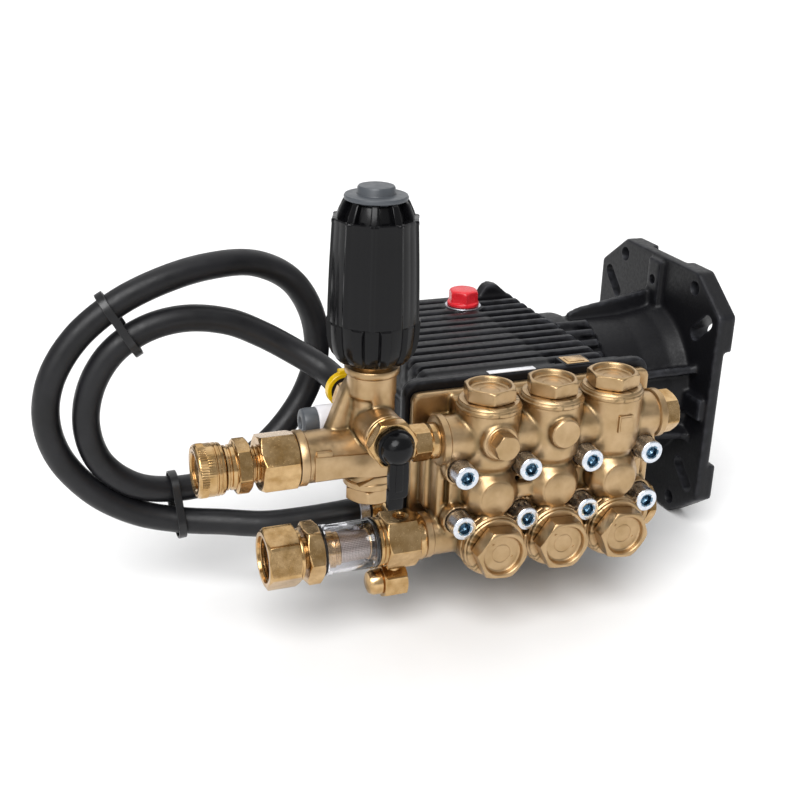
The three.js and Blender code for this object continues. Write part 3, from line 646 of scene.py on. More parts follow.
def head_bolts():
    """Socket head cap screws: dull drawn barrel, bright ground face, and a socket recess painted darker blue
    as shade.
    """
    for row, z in (("upper", BOLT_Z), ("lower", -BOLT_Z)):
        for k, x in enumerate(BOLT_X):
            bm = bmesh.new()
            turned(
                bm, "y", (x, z),
                [(5.6, 0.3), (6.5, 0.9), (6.5, 12), (4, 12), (4, 60), (0, 60), (0, 12.2), (5, 11.5)], 48,
            )
            face = [
                (0, 4.6), (2.2, 4.6), (3.75, 3.6, 6), (3.75, 0.35, 6), (3.95, 0.0), (5.6, 0.0), (6.1, 0.15),
                (6.45, 0.55), (6.5, 0.95), (6.0, 1.2),
            ]
            turned(bm, "y", (x, z), face, 48, math.radians(12 + 17 * k), finish=1)
            # faces inside the socket recess take the darker blue steel: painted shade in the recess
            centre = Vector((x, 0, z))
            for f in bm.faces:
                middle = f.calc_center_median() - centre
                if f.material_index == 1 and math.hypot(middle.x, middle.z) < 3.6:
                    f.material_index = 2
            name = f"head_bolt_{row}_{k + 1}"
            finished(f"{name}_screw", bm, ("barrel", "zinc", "socket"), node=name, crease=30)


def head_plugs():
    bm = bmesh.new()
    hexagon(bm, "y", GAUGE, -7.4, -0.7, 12.6, math.radians(38), chamfer=(1, 0), bevel=0.5)
    turned(bm, "y", GAUGE, [(0, -0.9), (7.2, -0.9), (7.2, 0.0), (0, 0.0)], 48)
    finished("gauge_port_plug_hex", bm, "forged", node="gauge_port_plug")
    bm = bmesh.new()
    hexagon(bm, "x", OUTLET, 66.4, 75, 21, math.radians(12), chamfer=(0, 1))
    turned(bm, "x", OUTLET, [(0, 74.6), (6.5, 74.6), (7.2, 75.05), (0, 75.06)], 48)
    finished("discharge_plug_hex", bm, "turned", node="discharge_plug")
    bm = bmesh.new()
    hexagon(bm, "x", INLET, 63.4, 68.7, 24, chamfer=(0, 1))
    finished("inlet_plug_hex", bm, "turned", node="inlet_plug")


# ---- crankcase ----
def crankcase_casting():
    """Die-cast case: stepped front flange, flat-topped fins with wider gaps at the right, feet and lug."""
    bm = bmesh.new()
    prism(bm, "y", rounded(-74.4, 74.4, -50.9, 52.9, 8), 42.5, 48.0, 0.7)
    prism(bm, "y", rounded(-72.4, 72.4, -49, 50.9, 8), 47, 51.2, 0.7)
    prism(bm, "y", rounded(-70, 70, -47, 48.6, 8), 50, 60, 0.7)
    block(bm, (-57.9, 57.9), (50, 189.9), (-49.9, 38.5), 1.2)
    block(bm, (-56.8, 21), (57, 188), (36, 45.8), 0.8)
    for i in range(FIN_COUNT):
        y = 62 + FIN_PITCH * i
        fin = [
            (-57.8, 34), (57.8, 34), (57.8, 44), (56.6, 47.6), (53.6, 49.9), (-53.6, 49.9), (-56.6, 47.6),
            (-57.8, 44),
        ]
        left = [(u if u < 0 else u - 34, v) for u, v in fin]
        prism(bm, "y", left, y - 0.4, y + 6.4, 0.8)
        prism(bm, "y", fin, y + 0.6, y + 5.0, 0.8)
    bar(bm, "z", OIL, 40, 49.9, 12.6)
    prism(bm, "y", [(26, 42), (62, 38), (57, 46), (45, 56.5), (40, 58), (36, 56.5)], 181, 189.6, 1.2)
    for y in (68, 150):
        block(bm, (-57.6, 57.6), (y, y + 24), (-56.8, -48), 1.4)
    turned(bm, "x", CRANK, [(0, -58.2), (36, -58.2), (36.6, -57.5), (36.6, -50), (0, -50)])
    for z in (-30, -12, 8, 26):
        block(bm, (-59.6, -50), (62, 100), (z - 2, z + 2), 1.0)
        block(bm, (50, 59.6), (62, 88), (z - 2, z + 2), 1.0)
    cast(bm, 1.15, 1)
    return bm


def crankcase_fittings():
    bm = bmesh.new()
    turned(bm, "x", CRANK, [
        (0, -64.2), (17, -64.2), (18.5, -65.6), (29.2, -65.8), (31.4, -64.6), (32.8, -62), (32.8, -58.6), (
            0, -58.6,
        ),
    ], 96, bevel=0.4)
    for k in range(6):
        a = math.radians(60 * k + 30)
        where = (CRANK[0] + 27.5 * math.cos(a), 27.5 * math.sin(a))
        turned(
            bm, "x", where, [(0, -66.0), (2.5, -66.0, 6.1), (3.9, -65.9), (4.0, -63), (0, -63)], 24, finish=1,
        )
    finished("side_cover_cast", bm, ("black", "barrel"), node="side_cover")
    bm = bmesh.new()
    prism(bm, "y", rounded(-53.8, 53.8, -45.8, 39.8, 8), 190.4, 193.6, 1.0)
    prism(bm, "y", rounded(-46, 46, -38, 32, 6), 193, 195.9, 1.0)
    for x, z in ((-48, -40), (48, -40), (-48, 34), (48, 34), (0, -41), (0, 35.4)):
        turned(
            bm, "y", (x, z), [(0, 195.2), (2.4, 195.2), (3.6, 196.0), (4.0, 195.6), (4.0, 193), (0, 193)], 24,
            finish=1,
        )
    ring = [(9.4, 193), (14, 193), (14, 196.1), (9.4, 196.1)]
    turned(bm, "y", (0, 0), ring, 64)
    finished("rear_cover_cast", bm, ("black", "barrel"), node="rear_cover")
    bm = bmesh.new()
    turned(bm, "y", (0, 0), [
        (0, 194.2), (7.8, 194.2), (8.0, 196.4), (9.2, 198.0), (10.8, 198.9), (11.8, 198.4), (12, 196.4), (
            9, 196.3,
        ),
        (9, 188), (0, 188),
    ], 72, bevel=0.2)
    finished("oil_sight_glass_lens", bm, "clear", node="oil_sight_glass")
    bm = bmesh.new()
    bar(bm, "y", (0, 0), 186.6, 187.6, 7.6, 48)
    finished("oil_sight_disc", bm, "zinc")
    bm = bmesh.new()
    hexagon(bm, "y", (24, -30), 196.1, 201.0, 13, 0.2, chamfer=(0, 1))
    finished("oil_drain_plug", bm, "turned")
    bm = bmesh.new()
    hex_rows = [
        (0, 60.6), (6.6, 60.9), (7.9, 60.6, 17), (8.9, 60.0, 17), (9.9, 58.8, 17), (9.9, 53.2, 17), (
            9.9, 52.8,
        ),
        (10.1, 52.2), (10.1, 50.8), (0, 50.8),
    ]
    turned(bm, "z", OIL, hex_rows, 72, math.radians(-103), bevel=0.35)
    bar(bm, "z", OIL, 41, 51, 6.9, 48)
    finished("oil_cap_moulded", bm, "red", node="oil_cap", body="oil_filler")
    bm = bmesh.new()
    turned(bm, "z", OIL, [(7.9, 49.7), (11.3, 49.7), (11.5, 50.1), (11.3, 50.55), (7.9, 50.6)], 72)
    finished("oil_filler_ring", bm, "barrel")
    bm = bmesh.new()
    block(bm, (-25, 3), (43.2, 47.4), (52.7, 53.2), 0.12)
    finished("blank_label", bm, "label")
    bm = bmesh.new()
    prism(bm, "z", rounded(21.4, 38.6, 43.0, 56.6, 0.8), 48.6, 53.1, 0.3)
    finished("plain_plate_seat", bm, "black")
    bm = bmesh.new()
    rim = rounded(23, 37, 44.4, 55.4, 0.5)
    prism(bm, "z", rim, 53.0, 53.4, 0.12)
    prism(bm, "z", rounded(25, 35, 46.4, 53.4, 0.4), 53.3, 53.7, 0.12)
    finished("plain_plate", bm, "turned")


# ---- engine flange ----
def off_crank(bm, profile, radius, angle):
    """A turned shape set off from the crank axis by a radius, at an angle from straight up."""
    a = math.radians(angle)
    turned(bm, "x", (CRANK[0] - radius * math.sin(a), radius * math.cos(a)), profile, 32)


def flange_casting():
    """Die-cast bell and square flange: corner pads, raised mid pad, hub ribs, slots and bolt holes."""
    bm = bmesh.new()
    corners = [(-70, -61), (-42, -82), (42, -82), (70, -61), (70, 61), (42, 82), (-42, 82), (-70, 61)]
    outline = [(y + CRANK[0], z) for y, z in corners]
    prism(bm, "x", outline, 138.5, 146.1, 1.6, 3)
    for sy in (-1, 1):
        for sz in (-1, 1):
            pad = [(20, 38), (69.8, 38), (69.8, 61), (42, 81.8), (20, 81.8)]
            prism(bm, "x", [(CRANK[0] + sy * y, sz * z) for y, z in pad], 139.5, 151.1, 1.2)
    turned(bm, "x", CRANK, [
        (0, 58.6), (46.8, 58.6), (47, 69), (46, 71.5), (43.6, 76), (44, 110), (46.5, 128), (50, 138), (
            52, 146,
        ),
        (52, 151.1), (0, 151.1),
    ], 96)
    for angle in (-4, 67, 113, 180, 247, 293):
        rib = [(76, 40), (138.8, 40), (138.8, 61), (134, 58.5), (84, 50), (76, 47)]
        prism(bm, "y", rib, CRANK[0] - 2.4, CRANK[0] + 2.4, 0.6,
              move=about("x", CRANK, angle))
    for angle in (18, 28, 38, 48, 58):
        nose = [(58, 40), (84, 40), (84, 44), (80, 50), (58, 50)]
        prism(bm, "y", nose, CRANK[0] - 2.3, CRANK[0] + 2.3, 1.0, move=about("x", CRANK, angle))
    block(bm, (134.3, 142.3), (CRANK[0] - 7, CRANK[0] + 7), (46, 79.6), 1.4)
    for angle in (90, 270):
        block(bm, (134.3, 142.3), (CRANK[0] - 7, CRANK[0] + 7), (46, 67), 1.4, move=about("x", CRANK, angle))
    cast(bm, 1.25, 1)
    cutter = bmesh.new()
    turned(cutter, "x", CRANK, [
        (0, 50), (30, 50), (30, 66), (36, 66.5), (36, 120), (45, 134), (45, 160), (0, 160),
    ], 96)
    for angle in (30, 150, 210, 330):
        hole = [(0, 100), (4.4, 100), (4.4, 138.4), (5.0, 138), (4.4, 139), (4.4, 160), (0, 160)]
        off_crank(cutter, hole, FLANGE_BOLTS_R, angle)
    for angle in (47, 133, 227, 313):
        slot = rounded(CRANK[0] - 4.5, CRANK[0] + 4.5, 60, 85, 4.4)
        prism(cutter, "x", slot, 130, 160, move=about("x", CRANK, angle))
    turned(cutter, "x", (CRANK[0], 66), [(0, 120), (3.2, 120), (3.2, 160), (0, 160)], 32)
    bored(bm, cutter)
    return bm


# ---- unloader ----
def unloader_casting():
    """Forged unloader body: barrel, outlet arm, lever port, bypass port and the webs between them."""
    bm = bmesh.new()
    turned(bm, "z", KNOB, [
        (0, 12.4), (13.2, 12.4), (13.2, 15), (12.2, 17), (12.2, 46), (11.4, 52), (10.6, 55), (10.6, 60.0),
        (12.2, 61.0), (12.3, 73), (0, 73),
    ])

    def tab(angle, radius, place):
        return radius if -1.9 < angle < -0.6 else min(radius, 9.0)

    turned(bm, "z", KNOB, [(0, 53.6), (12.2, 53.6), (12.2, 62), (0, 62)], 144, shape=tab)
    turned(bm, "x", OUTLET, [(0, -141), (13.2, -141), (13.2, KNOB_X), (11, KNOB_X), (10.6, -87), (0, -87)])
    bar(bm, "y", PORT, -5.6, TOWER_Y, 11.2)
    bar(bm, "y", PORT, TOWER_Y, 45.4, 9.8)
    bar(bm, "x", CHECK_VALVE, -111.8, KNOB_X, 7.2)
    strut = [(-127, 36), (-105, 36), (-105, 70), (-112, 70), (-116.5, 62)]
    prism(bm, "y", strut, 17, 28, 3.6, 4)
    prism(bm, "y", [(-121, 38), (-104, 38), (-104, 62), (-113, 60)], 22, 36, 2.0, 3)
    cast(bm, 0.72, 2)
    return bm


def unloader_rings(bm):
    lip = [(9, 71.4), (12.4, 71.4), (13.4, 72.2), (13.7, 72.8), (13.7, 74.9), (13.3, 75.5), (9, 75.5)]
    turned(bm, "z", KNOB, lip, 96)
    neck = [(9.0, 75), (9.9, 75), (9.9, 89.6), (9.0, 89.8)]
    turned(bm, "z", KNOB, neck, 72, finish=1)
    thread(bm, "z", KNOB, 76.5, 89, 9.4, 1.5, 0.5, finish=1)
    foot = [(6, 12.05), (13.3, 12.05), (13.7, 12.5), (13.7, 15.2), (13.1, 15.9), (6, 15.9)]
    turned(bm, "z", KNOB, foot, 96)
    arm = [(6, -141.5), (13.7, -141.5), (14.2, -140.9), (14.2, -137.6), (13.6, -137), (6, -137)]
    turned(bm, "x", OUTLET, arm, 96)
    spigot = [(6, -92.6), (10.9, -92.6), (11.6, -92), (11.6, -87.0), (11, -86.3), (6, -86.3)]
    turned(bm, "x", OUTLET, spigot, 72)
    rim = [(4.5, -6), (10.9, -6), (11.5, -5.4), (11.5, -2.6), (11, -2), (4.5, -2)]
    turned(bm, "y", PORT, rim, 72)
    back = [(4.5, 43), (9.9, 43), (10.2, 43.5), (10.2, 45.2), (9.8, 45.7), (4.5, 45.7)]
    turned(bm, "y", PORT, back, 64)
    panel = [
        (-135, 22.4), (-117, 22.4), (-104, 20.5), (-92, 20.5), (-88.5, 26), (-92, 31.2), (-104, 33.6),
        (-135, 35.4),
    ]
    prism(bm, "y", panel, 4.4, 9, 0.35)
    prism(bm, "y", rounded(-134, -126, 33, 37.6, 0.6), 4.8, 9, 0.3)
    foot_panel = [(-112, 15.8), (-91, 15.8), (-91, 19.6), (-104, 19.6)]
    prism(bm, "y", foot_panel, 5.2, 10, 0.3)


def unloader_fittings():
    bm = bmesh.new()
    hexagon(bm, "z", KNOB, 4.1, 11.7, 23, math.radians(-112))
    finished("unloader_bottom_plug_hex", bm, "forged", node="unloader_bottom_plug")
    bm = bmesh.new()
    hexagon(bm, "x", OUTLET, -80.2, -70.6, 17, math.radians(8))
    turned(
        bm, "x", OUTLET,
        [
            (0, -85.7), (9.6, -85.7), (9.9, -85.3), (9.9, -82.8), (9.5, -82.3), (8.4, -82.2), (8.4, -80),
            (0, -80),
        ],
        72,
    )
    turned(bm, "x", OUTLET, [(0, -71), (8.6, -71), (9.6, -70), (9.6, -66.5), (0, -66.5)], 72)
    finished("discharge_nipple_turned", bm, "turned", node="discharge_nipple")
    bm = bmesh.new()
    hexagon(bm, "y", PORT, -15, -8.6, 22, math.radians(28))
    turned(bm, "y", PORT, [(0, -8.7), (11.4, -8.7), (11.9, -8.3), (11.9, -6.9), (11.5, -6.4), (0, -6.4)], 72)
    finished("valve_bonnet_turned", bm, "turned", node="valve_bonnet")
    bm = bmesh.new()
    hexagon(bm, "y", PORT, 46.1, 52.8, 17, 0.3)
    bar(bm, "y", PORT, 30, 47, 4.0, 32)
    for k in range(3):
        y = 53 + 4 * k
        turned(bm, "y", PORT, [(0, y), (4.6, y), (4.9, y + 0.6), (4.2, y + 4), (0, y + 4)], 48)
    finished("bypass_barb_turned", bm, "turned", node="bypass_barb")
    bm = bmesh.new()
    turned(bm, "x", CHECK_VALVE, [
        (0, -124.5), (7.2, -124.6), (7.9, -124.2), (8.1, -123.4), (8.1, -112.9), (7.7, -112.5), (0, -112.5),
    ], 64, bevel=0.2)
    cup = [
        (0, -131.6), (2.8, -131.6), (3.2, -132.6), (5.6, -132.6), (7.0, -131.8), (7.4, -129.6), (7.4, -124.4),
        (0, -124.4),
    ]
    turned(bm, "x", CHECK_VALVE, cup, 64, finish=1, bevel=0.2)
    finished("check_valve_cap_moulded", bm, ("white", "button"), node="check_valve_cap")


def pressure_knob():
    """Moulded knob: ribbed shoulder, body with shallow ridges, offset ribs round its foot, grey button."""
    lobes = 10

    def ridge(angle, width):
        turn = (angle - TOWARDS_CAMERA) * lobes / (2 * math.pi)
        away = abs(turn - round(turn)) * 2 * math.pi / lobes
        return max(0.0, 1 - (away / width) ** 2)

    def fluted(angle, radius, place):
        if radius < 11 or place > 158.2 or place < 79:
            return radius
        if place > 150.2:
            post = min(1.0, 2.6 * ridge(angle, 0.13))
            return radius - 3.4 * (1 - post)
        if place > 99.6:
            return radius + 0.9 * ridge(angle, 0.06) - 0.45 * (1 - ridge(angle, 0.34))
        offset = angle + math.pi / lobes
        return radius + 2.2 * min(1.0, 2.2 * ridge(offset, 0.15)) - 1.7

    bm = bmesh.new()
    rows = [
        (0, 155.5), (12, 155.5), (14.8, 158.5), (15.6, 158.1), (16.4, 156.9), (18.6, 152.2), (19.2, 150.3),
        (20.2, 150.1), (20.7, 149.6), (20.75, 148.6), (20.6, 147.8), (21.0, 140), (21.5, 130), (21.9, 120),
        (22.2, 110), (22.35, 102.2), (22.35, 100.2), (22.5, 99.4), (22.4, 96), (22.0, 90), (21.2, 85.5),
        (19.6, 82), (17.4, 79.6), (14.6, 78.4), (12.6, 78.1), (11.0, 78.3), (10.6, 79), (10.6, 106), (
            4.6, 106.5,
        ),
        (4.6, 153), (0, 153),
    ]
    turned(bm, "z", KNOB, rows, 240, TOWARDS_CAMERA, shape=fluted)
    finished("pressure_knob_moulded", bm, "knob", node="pressure_knob", body="knob", crease=40)
    bm = bmesh.new()
    turned(bm, "z", KNOB, [
        (0, 164.9), (7.2, 165.0), (8.4, 164.7), (9.0, 163.9), (9.1, 161.4), (9.4, 160.9), (13.6, 160.9), (
            14.9, 160.5,
        ),
        (15.3, 159.7), (15.2, 158.6), (13, 157.5), (0, 157.5),
    ], 96)
    finished("knob_button", bm, "button", body="knob")


def valve_lever():
    """Moulded lever: domed cap with a hexagonal hub behind it, and a handle that steps in near its tip."""
    bm = bmesh.new()
    turned(bm, "y", PORT, [
        (0, -26), (2.6, -25.8), (5.2, -24.7), (7.2, -22.8), (8.2, -20.4), (8.4, -18.6), (9.3, -18.2), (
            9.5, -17.2,
        ),
        (9.2, -15.5), (0, -15.4),
    ], 64)
    blade = [(-4.3, 0), (4.6, 0), (5.2, -14), (5.0, -23.6), (3.4, -25), (-4.6, -25), (-5.0, -14)]
    prism(bm, "y", [(KNOB_X + x, PORT[1] + z) for x, z in blade], -22.8, -18.2, 0.9, 3)
    tip = [(-5.2, -20), (2.8, -20), (2.8, -30.2), (2.0, -30.9), (-4.6, -30.9), (-5.2, -30.2)]
    prism(bm, "y", [(KNOB_X + x, PORT[1] + z) for x, z in tip], -22.2, -18.8, 0.5)
    spine = [(-1.7, -6), (1.9, -6), (2.3, -21), (-2.1, -21)]
    prism(bm, "y", [(KNOB_X + x, PORT[1] + z) for x, z in spine], -23.4, -20, 0.7, 3)
    finished("valve_lever_moulded", bm, "knob", node="valve_lever", body="lever", crease=40)


def outlet_coupler():
    """Outlet nut, coupler body with thread and hexagon, and the spring sleeve with a knurled band."""
    bm = bmesh.new()
    hexagon(bm, "x", OUTLET, -160.6, -141.9, 27, math.radians(45), bore=6.6)
    turned(bm, "x", OUTLET, [(0, -147), (6.8, -147), (6.8, -144), (0, -144)], 48)
    finished("outlet_nut_turned", bm, "turned", node="outlet_nut")
    bm = bmesh.new()
    turned(bm, "x", OUTLET, [(0, -166), (6.0, -166), (6.0, -149), (0, -149)], 48)
    thread(bm, "x", OUTLET, -165.2, -157.8, 8.6, 1.8, 0.9)
    hexagon(bm, "x", OUTLET, -173, -165.2, 24, math.radians(8))
    turned(bm, "x", OUTLET, [
        (5.8, -190.4), (7.9, -190.4), (8.4, -189.8), (8.5, -178.2), (10.6, -178.0), (11.2, -177.6), (
            11.2, -176.6,
        ),
        (10.5, -176.1), (10.5, -175.4), (11.3, -174.9), (11.3, -172.8), (5, -172.8), (5.0, -176), (
            5.8, -176.4,
        ),
    ], 72)
    thread(bm, "x", OUTLET, -188, -180, 5.8, 1.6, 0.5, inside=True, finish=1)
    turned(bm, "x", OUTLET, [(0, -177), (5.9, -177), (5.9, -175), (0, -175)], 48, finish=1)
    finished("coupler_body_turned", bm, ("turned", "barrel"), node="coupler_body")

    def knurled(angle, radius, place):
        in_band = radius > 12.9 and -190.5 < place < -187
        return radius - 0.45 * (0.5 + 0.5 * math.cos(64 * angle)) if in_band else radius

    bm = bmesh.new()
    rows = [
        (8.8, -191.2), (9.6, -191.9), (11.2, -191.9), (11.5, -191.6), (11.9, -191.9), (12.5, -191.8), (
            13.1, -191.2,
        ),
        (13.2, -190.6), (13.4, -190.3), (13.4, -187.2), (13.2, -186.8), (13.25, -183.4), (12.7, -183.1), (
            12.7, -182.6,
        ),
        (13.2, -182.3), (13.2, -181.3), (12.8, -181.0), (12.8, -180.5), (13.1, -180.2), (12.8, -179.0), (
            12.3, -178.5,
        ),
        (11.8, -178.5), (11.8, -183.0), (8.8, -183.0),
    ]
    turned(bm, "x", OUTLET, rows, 256, shape=knurled)
    finished("coupler_sleeve_turned", bm, "turned", node="coupler_sleeve", body="sleeve", crease=30)


def inlet_strainer():
    """Swivel nut with an inside thread, cap nut, clear bowl, woven screen and seals."""
    bm = bmesh.new()
    hexagon(bm, "x", INLET, -157.4, -140.1, 29, math.radians(14), bore=12.2)
    turned(bm, "x", INLET, [(9, -140.4), (13.2, -140.4), (13.4, -140.1), (13.4, -138.5), (9, -138.3)], 72)
    turned(bm, "x", INLET, [(9.2, -142.6), (12.6, -142.6), (12.6, -141.6), (9.2, -141.6)], 72)
    thread(bm, "x", INLET, -156.2, -143.2, 12.4, 2.0, 0.9, inside=True)
    finished("inlet_nut_turned", bm, "turned", node="inlet_nut", body="inlet_swivel")
    bm = bmesh.new()
    hexagon(bm, "x", INLET, -136.5, -127.8, 29, math.radians(-2), bore=6.6)
    turned(bm, "x", INLET, [(6.6, -146.6), (8.4, -146.6), (8.4, -136), (6.6, -136)], 64)
    turned(bm, "x", INLET, [
        (6.6, -128.7), (10.7, -128.7), (10.7, -125.7), (9.6, -125.1), (9.6, -121.7), (8.6, -121.1), (
            8.6, -119.2,
        ),
        (6.6, -119.2),
    ], 64)
    finished("strainer_cap_turned", bm, "turned", node="strainer_cap")
    bm = bmesh.new()
    turned(bm, "x", INLET, [
        (11.3, -126.1), (13.1, -126.1), (13.5, -125.6), (13.55, -123.3), (13.2, -122.7), (13.2, -101.2),
        (13.55, -100.6), (13.5, -98.2), (13.1, -97.6), (11.3, -97.6),
    ], 96)
    finished("strainer_bowl_moulded", bm, "clear", node="strainer_bowl")
    bm = bmesh.new()
    for low in (-127.7, -99.4):
        turned(
            bm, "x", INLET,
            [(11.4, low), (13.1, low), (13.6, low + 0.8), (13.1, low + 1.6), (11.4, low + 1.6)], 72,
        )
    finished("bowl_seals", bm, "seal")
    screen = bmesh.new()
    turned(screen, "x", INLET, [(7.4, -118.2), (7.9, -118.2), (7.9, -99.6), (7.4, -99.6)], 96)
    around = screen.loops.layers.uv.new("screen")
    turn_length = 2 * math.pi * SCREEN_R / SCREEN_PITCH
    for face in screen.faces:
        for loop in face.loops:
            p = loop.vert.co
            loop[around].uv = (
                math.atan2(p.z - INLET[1], p.y - INLET[0]) / (2 * math.pi) * turn_length, p.x / SCREEN_PITCH,
            )
        across = [loop[around].uv.x for loop in face.loops]
        if max(across) - min(across) > turn_length / 2:
            for loop in face.loops:
                if loop[around].uv.x < 0:
                    loop[around].uv.x += turn_length
    finished("strainer_screen_woven", screen, "screen", node="strainer_screen")
    bm = bmesh.new()
    for low in (-120.6, -101.2):
        turned(bm, "x", INLET, [
            (6.6, low), (8.5, low), (8.8, low + 0.4), (8.8, low + 1.8), (8.5, low + 2.2), (6.6, low + 2.2),
        ], 72)
    finished("screen_end_rings", bm, "turned")


def inlet_fitting():
    """The hexagon block between bowl and head, with its tapped port, its elbow and the relief valve below."""
    bm = bmesh.new()
    hexagon(bm, "x", INLET, -93, -74.9, 27)
    port = (-82.5, INLET[0])
    cutter = bmesh.new()
    turned(cutter, "z", port, [(0, -22), (3.5, -22), (3.5, -13.9), (4.6, -12.8), (4.6, -9), (0, -9)], 48)
    bored(bm, cutter)
    thread(bm, "z", port, -20, -14.2, 3.6, 1.2, 0.45, inside=True)
    turned(bm, "x", INLET, [
        (0, -97.2), (12.7, -97.2), (13.1, -96.8), (13.1, -95.4), (12.4, -94.9), (12.9, -94.4), (12.9, -92.8),
        (0, -92.8),
    ], 96)
    turned(
        bm, "x", INLET, [(0, -75.2), (12.9, -75.2), (13.2, -74.8), (13.2, -72.2), (12.8, -71.5), (0, -71.4)],
        96,
    )
    bar(bm, "y", (-80, ELBOW[1]), 31, 55, 4.6, 48)
    turned(bm, "x", ELBOW, [(0, -88), (5.6, -88), (6.3, -86.5), (6.3, -78), (5.2, -76.4), (0, -76)], 64)
    finished("inlet_fitting_turned", bm, "turned", node="inlet_fitting")
    bm = bmesh.new()
    bar(bm, "z", (-86, INLET[0]), -47, -40.4, 4.4, 32)
    turned(bm, "x", RELIEF, [
        (0, -101), (3.4, -100.9), (5.6, -100.0), (6.8, -98.0), (7.0, -93.4), (6.4, -92.6), (0, -92.2),
    ], 64)
    hexagon(bm, "x", RELIEF, -92.8, -79.7, 17, math.radians(90))
    finished("relief_valve_turned", bm, "turned", node="relief_valve")


def running_gear():
    """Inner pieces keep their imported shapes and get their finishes."""
    for name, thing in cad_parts.items():
        if thing.hide_render:
            continue
        kind = "steel"
        if name.startswith("plunger"):
            kind = "ceramic"
        if name == "spring_seat":
            kind = "turned"
        for place in thing.material_slots:
            place.material = MATERIALS[kind]
        if not thing.material_slots:
            thing.data.materials.append(MATERIALS[kind])


# ---- bypass hose ----
def hose_line(steps=8):
    """The hose's centreline in metres in the row frame: a smooth curve through its route."""
    route = [Vector(p) for p in HOSE_ROUTE]
    route = [2 * route[0] - route[1], *route, 2 * route[-1] - route[-2]]
    line = []
    for k in range(1, len(route) - 2):
        a, b, c, d = route[k - 1 : k + 3]
        for n in range(steps):
            t = n / steps
            line.append(0.5 * ((2 * b) + (c - a) * t + (2 * a - 5 * b + 4 * c - d) * t**2
                               + (3 * b - a - 3 * c + d) * t**3))
    line.append(route[-2])
    return [ORIGIN + p / 1000 for p in line]


def bypass_hose():
    line = hose_line()
    diameter = bpy.context.scene.pump_finish.hose_diameter
    curve = bpy.data.curves.new("bypass_hose_line", "CURVE")
    curve.dimensions = "3D"
    spline = curve.splines.new("POLY")
    spline.points.add(len(line) - 1)
    for point, place in zip(spline.points, line):
        point.co = (*place, 1)
    curve.bevel_depth = diameter / 2
    curve.bevel_resolution = 7
    curve.use_fill_caps = True
    curve.materials.append(MATERIALS["rubber"])
    hose = bpy.data.objects.new("bypass_hose_extruded", curve)
    bpy.context.scene.collection.objects.link(hose)
    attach(hose, "pump_body")
    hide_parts("bypass_hose")
    pieces = [hose_clamp(), elbow_clamp(), cable_tie(0), cable_tie(1)]


def hose_clamp():
    bm = bmesh.new()
    turned(bm, "y", PORT, [(7.5, 58.9), (9.3, 58.9), (9.6, 59.2), (9.6, 63.4), (9.3, 63.7), (7.5, 63.7)], 72)
    block(bm, (KNOB_X - 3.2, KNOB_X + 3.2), (59.2, 63.4), (PORT[1] + 9, PORT[1] + 11.6), 0.8)
    return finished("hose_clamp_band", bm, "band", node="hose_clamp")


def elbow_clamp():
    bm = bmesh.new()
    turned(
        bm, "x", ELBOW, [(7.4, -95.6), (8.6, -95.6), (8.9, -95.3), (8.9, -90.3), (8.6, -90), (7.4, -90)], 72,
    )
    block(bm, (-95.2, -90.4), (52, 58), (-34.6, -32.2), 0.6)
    return finished("elbow_clamp_band", bm, "barrel")


def cable_tie(k):
    """A nylon tie round both turns: a flat strap, its head and a short cut tail."""
    tie = TIES[k]
    inner, outer = Vector(tie["inner"]), Vector(tie["outer"])
    across = outer - inner
    half = across.length / 2
    facing = Vector(tie["along"]).cross(across).normalized()
    across.normalize()
    forward = across.cross(facing)
    place = Matrix((across, facing, forward)).transposed().to_4x4()
    place.translation = (inner + outer) / 2
    bm = bmesh.new()
    strap = bmesh.new()
    outline = rounded(-half - 10.3, half + 10.3, -10.3, 10.3, 10.29, 10)
    hollow = rounded(-half - 9.3, half + 9.3, -9.3, 9.3, 9.29, 10)
    rings = [
        [strap.verts.new((u, v, z)) for u, v in points] for points in (outline, hollow) for z in (-2.2, 2.2)
    ]
    count = len(outline)
    for a, b in ((0, 1), (1, 3), (3, 2), (2, 0)):
        for n in range(count):
            m = (n + 1) % count
            strap.faces.new((rings[a][n], rings[a][m], rings[b][m], rings[b][n]))
    bmesh.ops.recalc_face_normals(strap, faces=strap.faces)
    round_edges(strap, 0.25, 1, 60)
    merge(bm, strap, place)
    block(bm, (-3.2, 3.2), (10.0, 13.2), (-3.0, 3.0), 0.8, move=place)
    block(bm, (2.6, 9), (10.6, 11.8), (-2.0, 2.0), 0.3, move=place)
    return finished(f"cable_tie_{k + 1}_strap", bm, "tie", node=f"cable_tie_{k + 1}", crease=40)


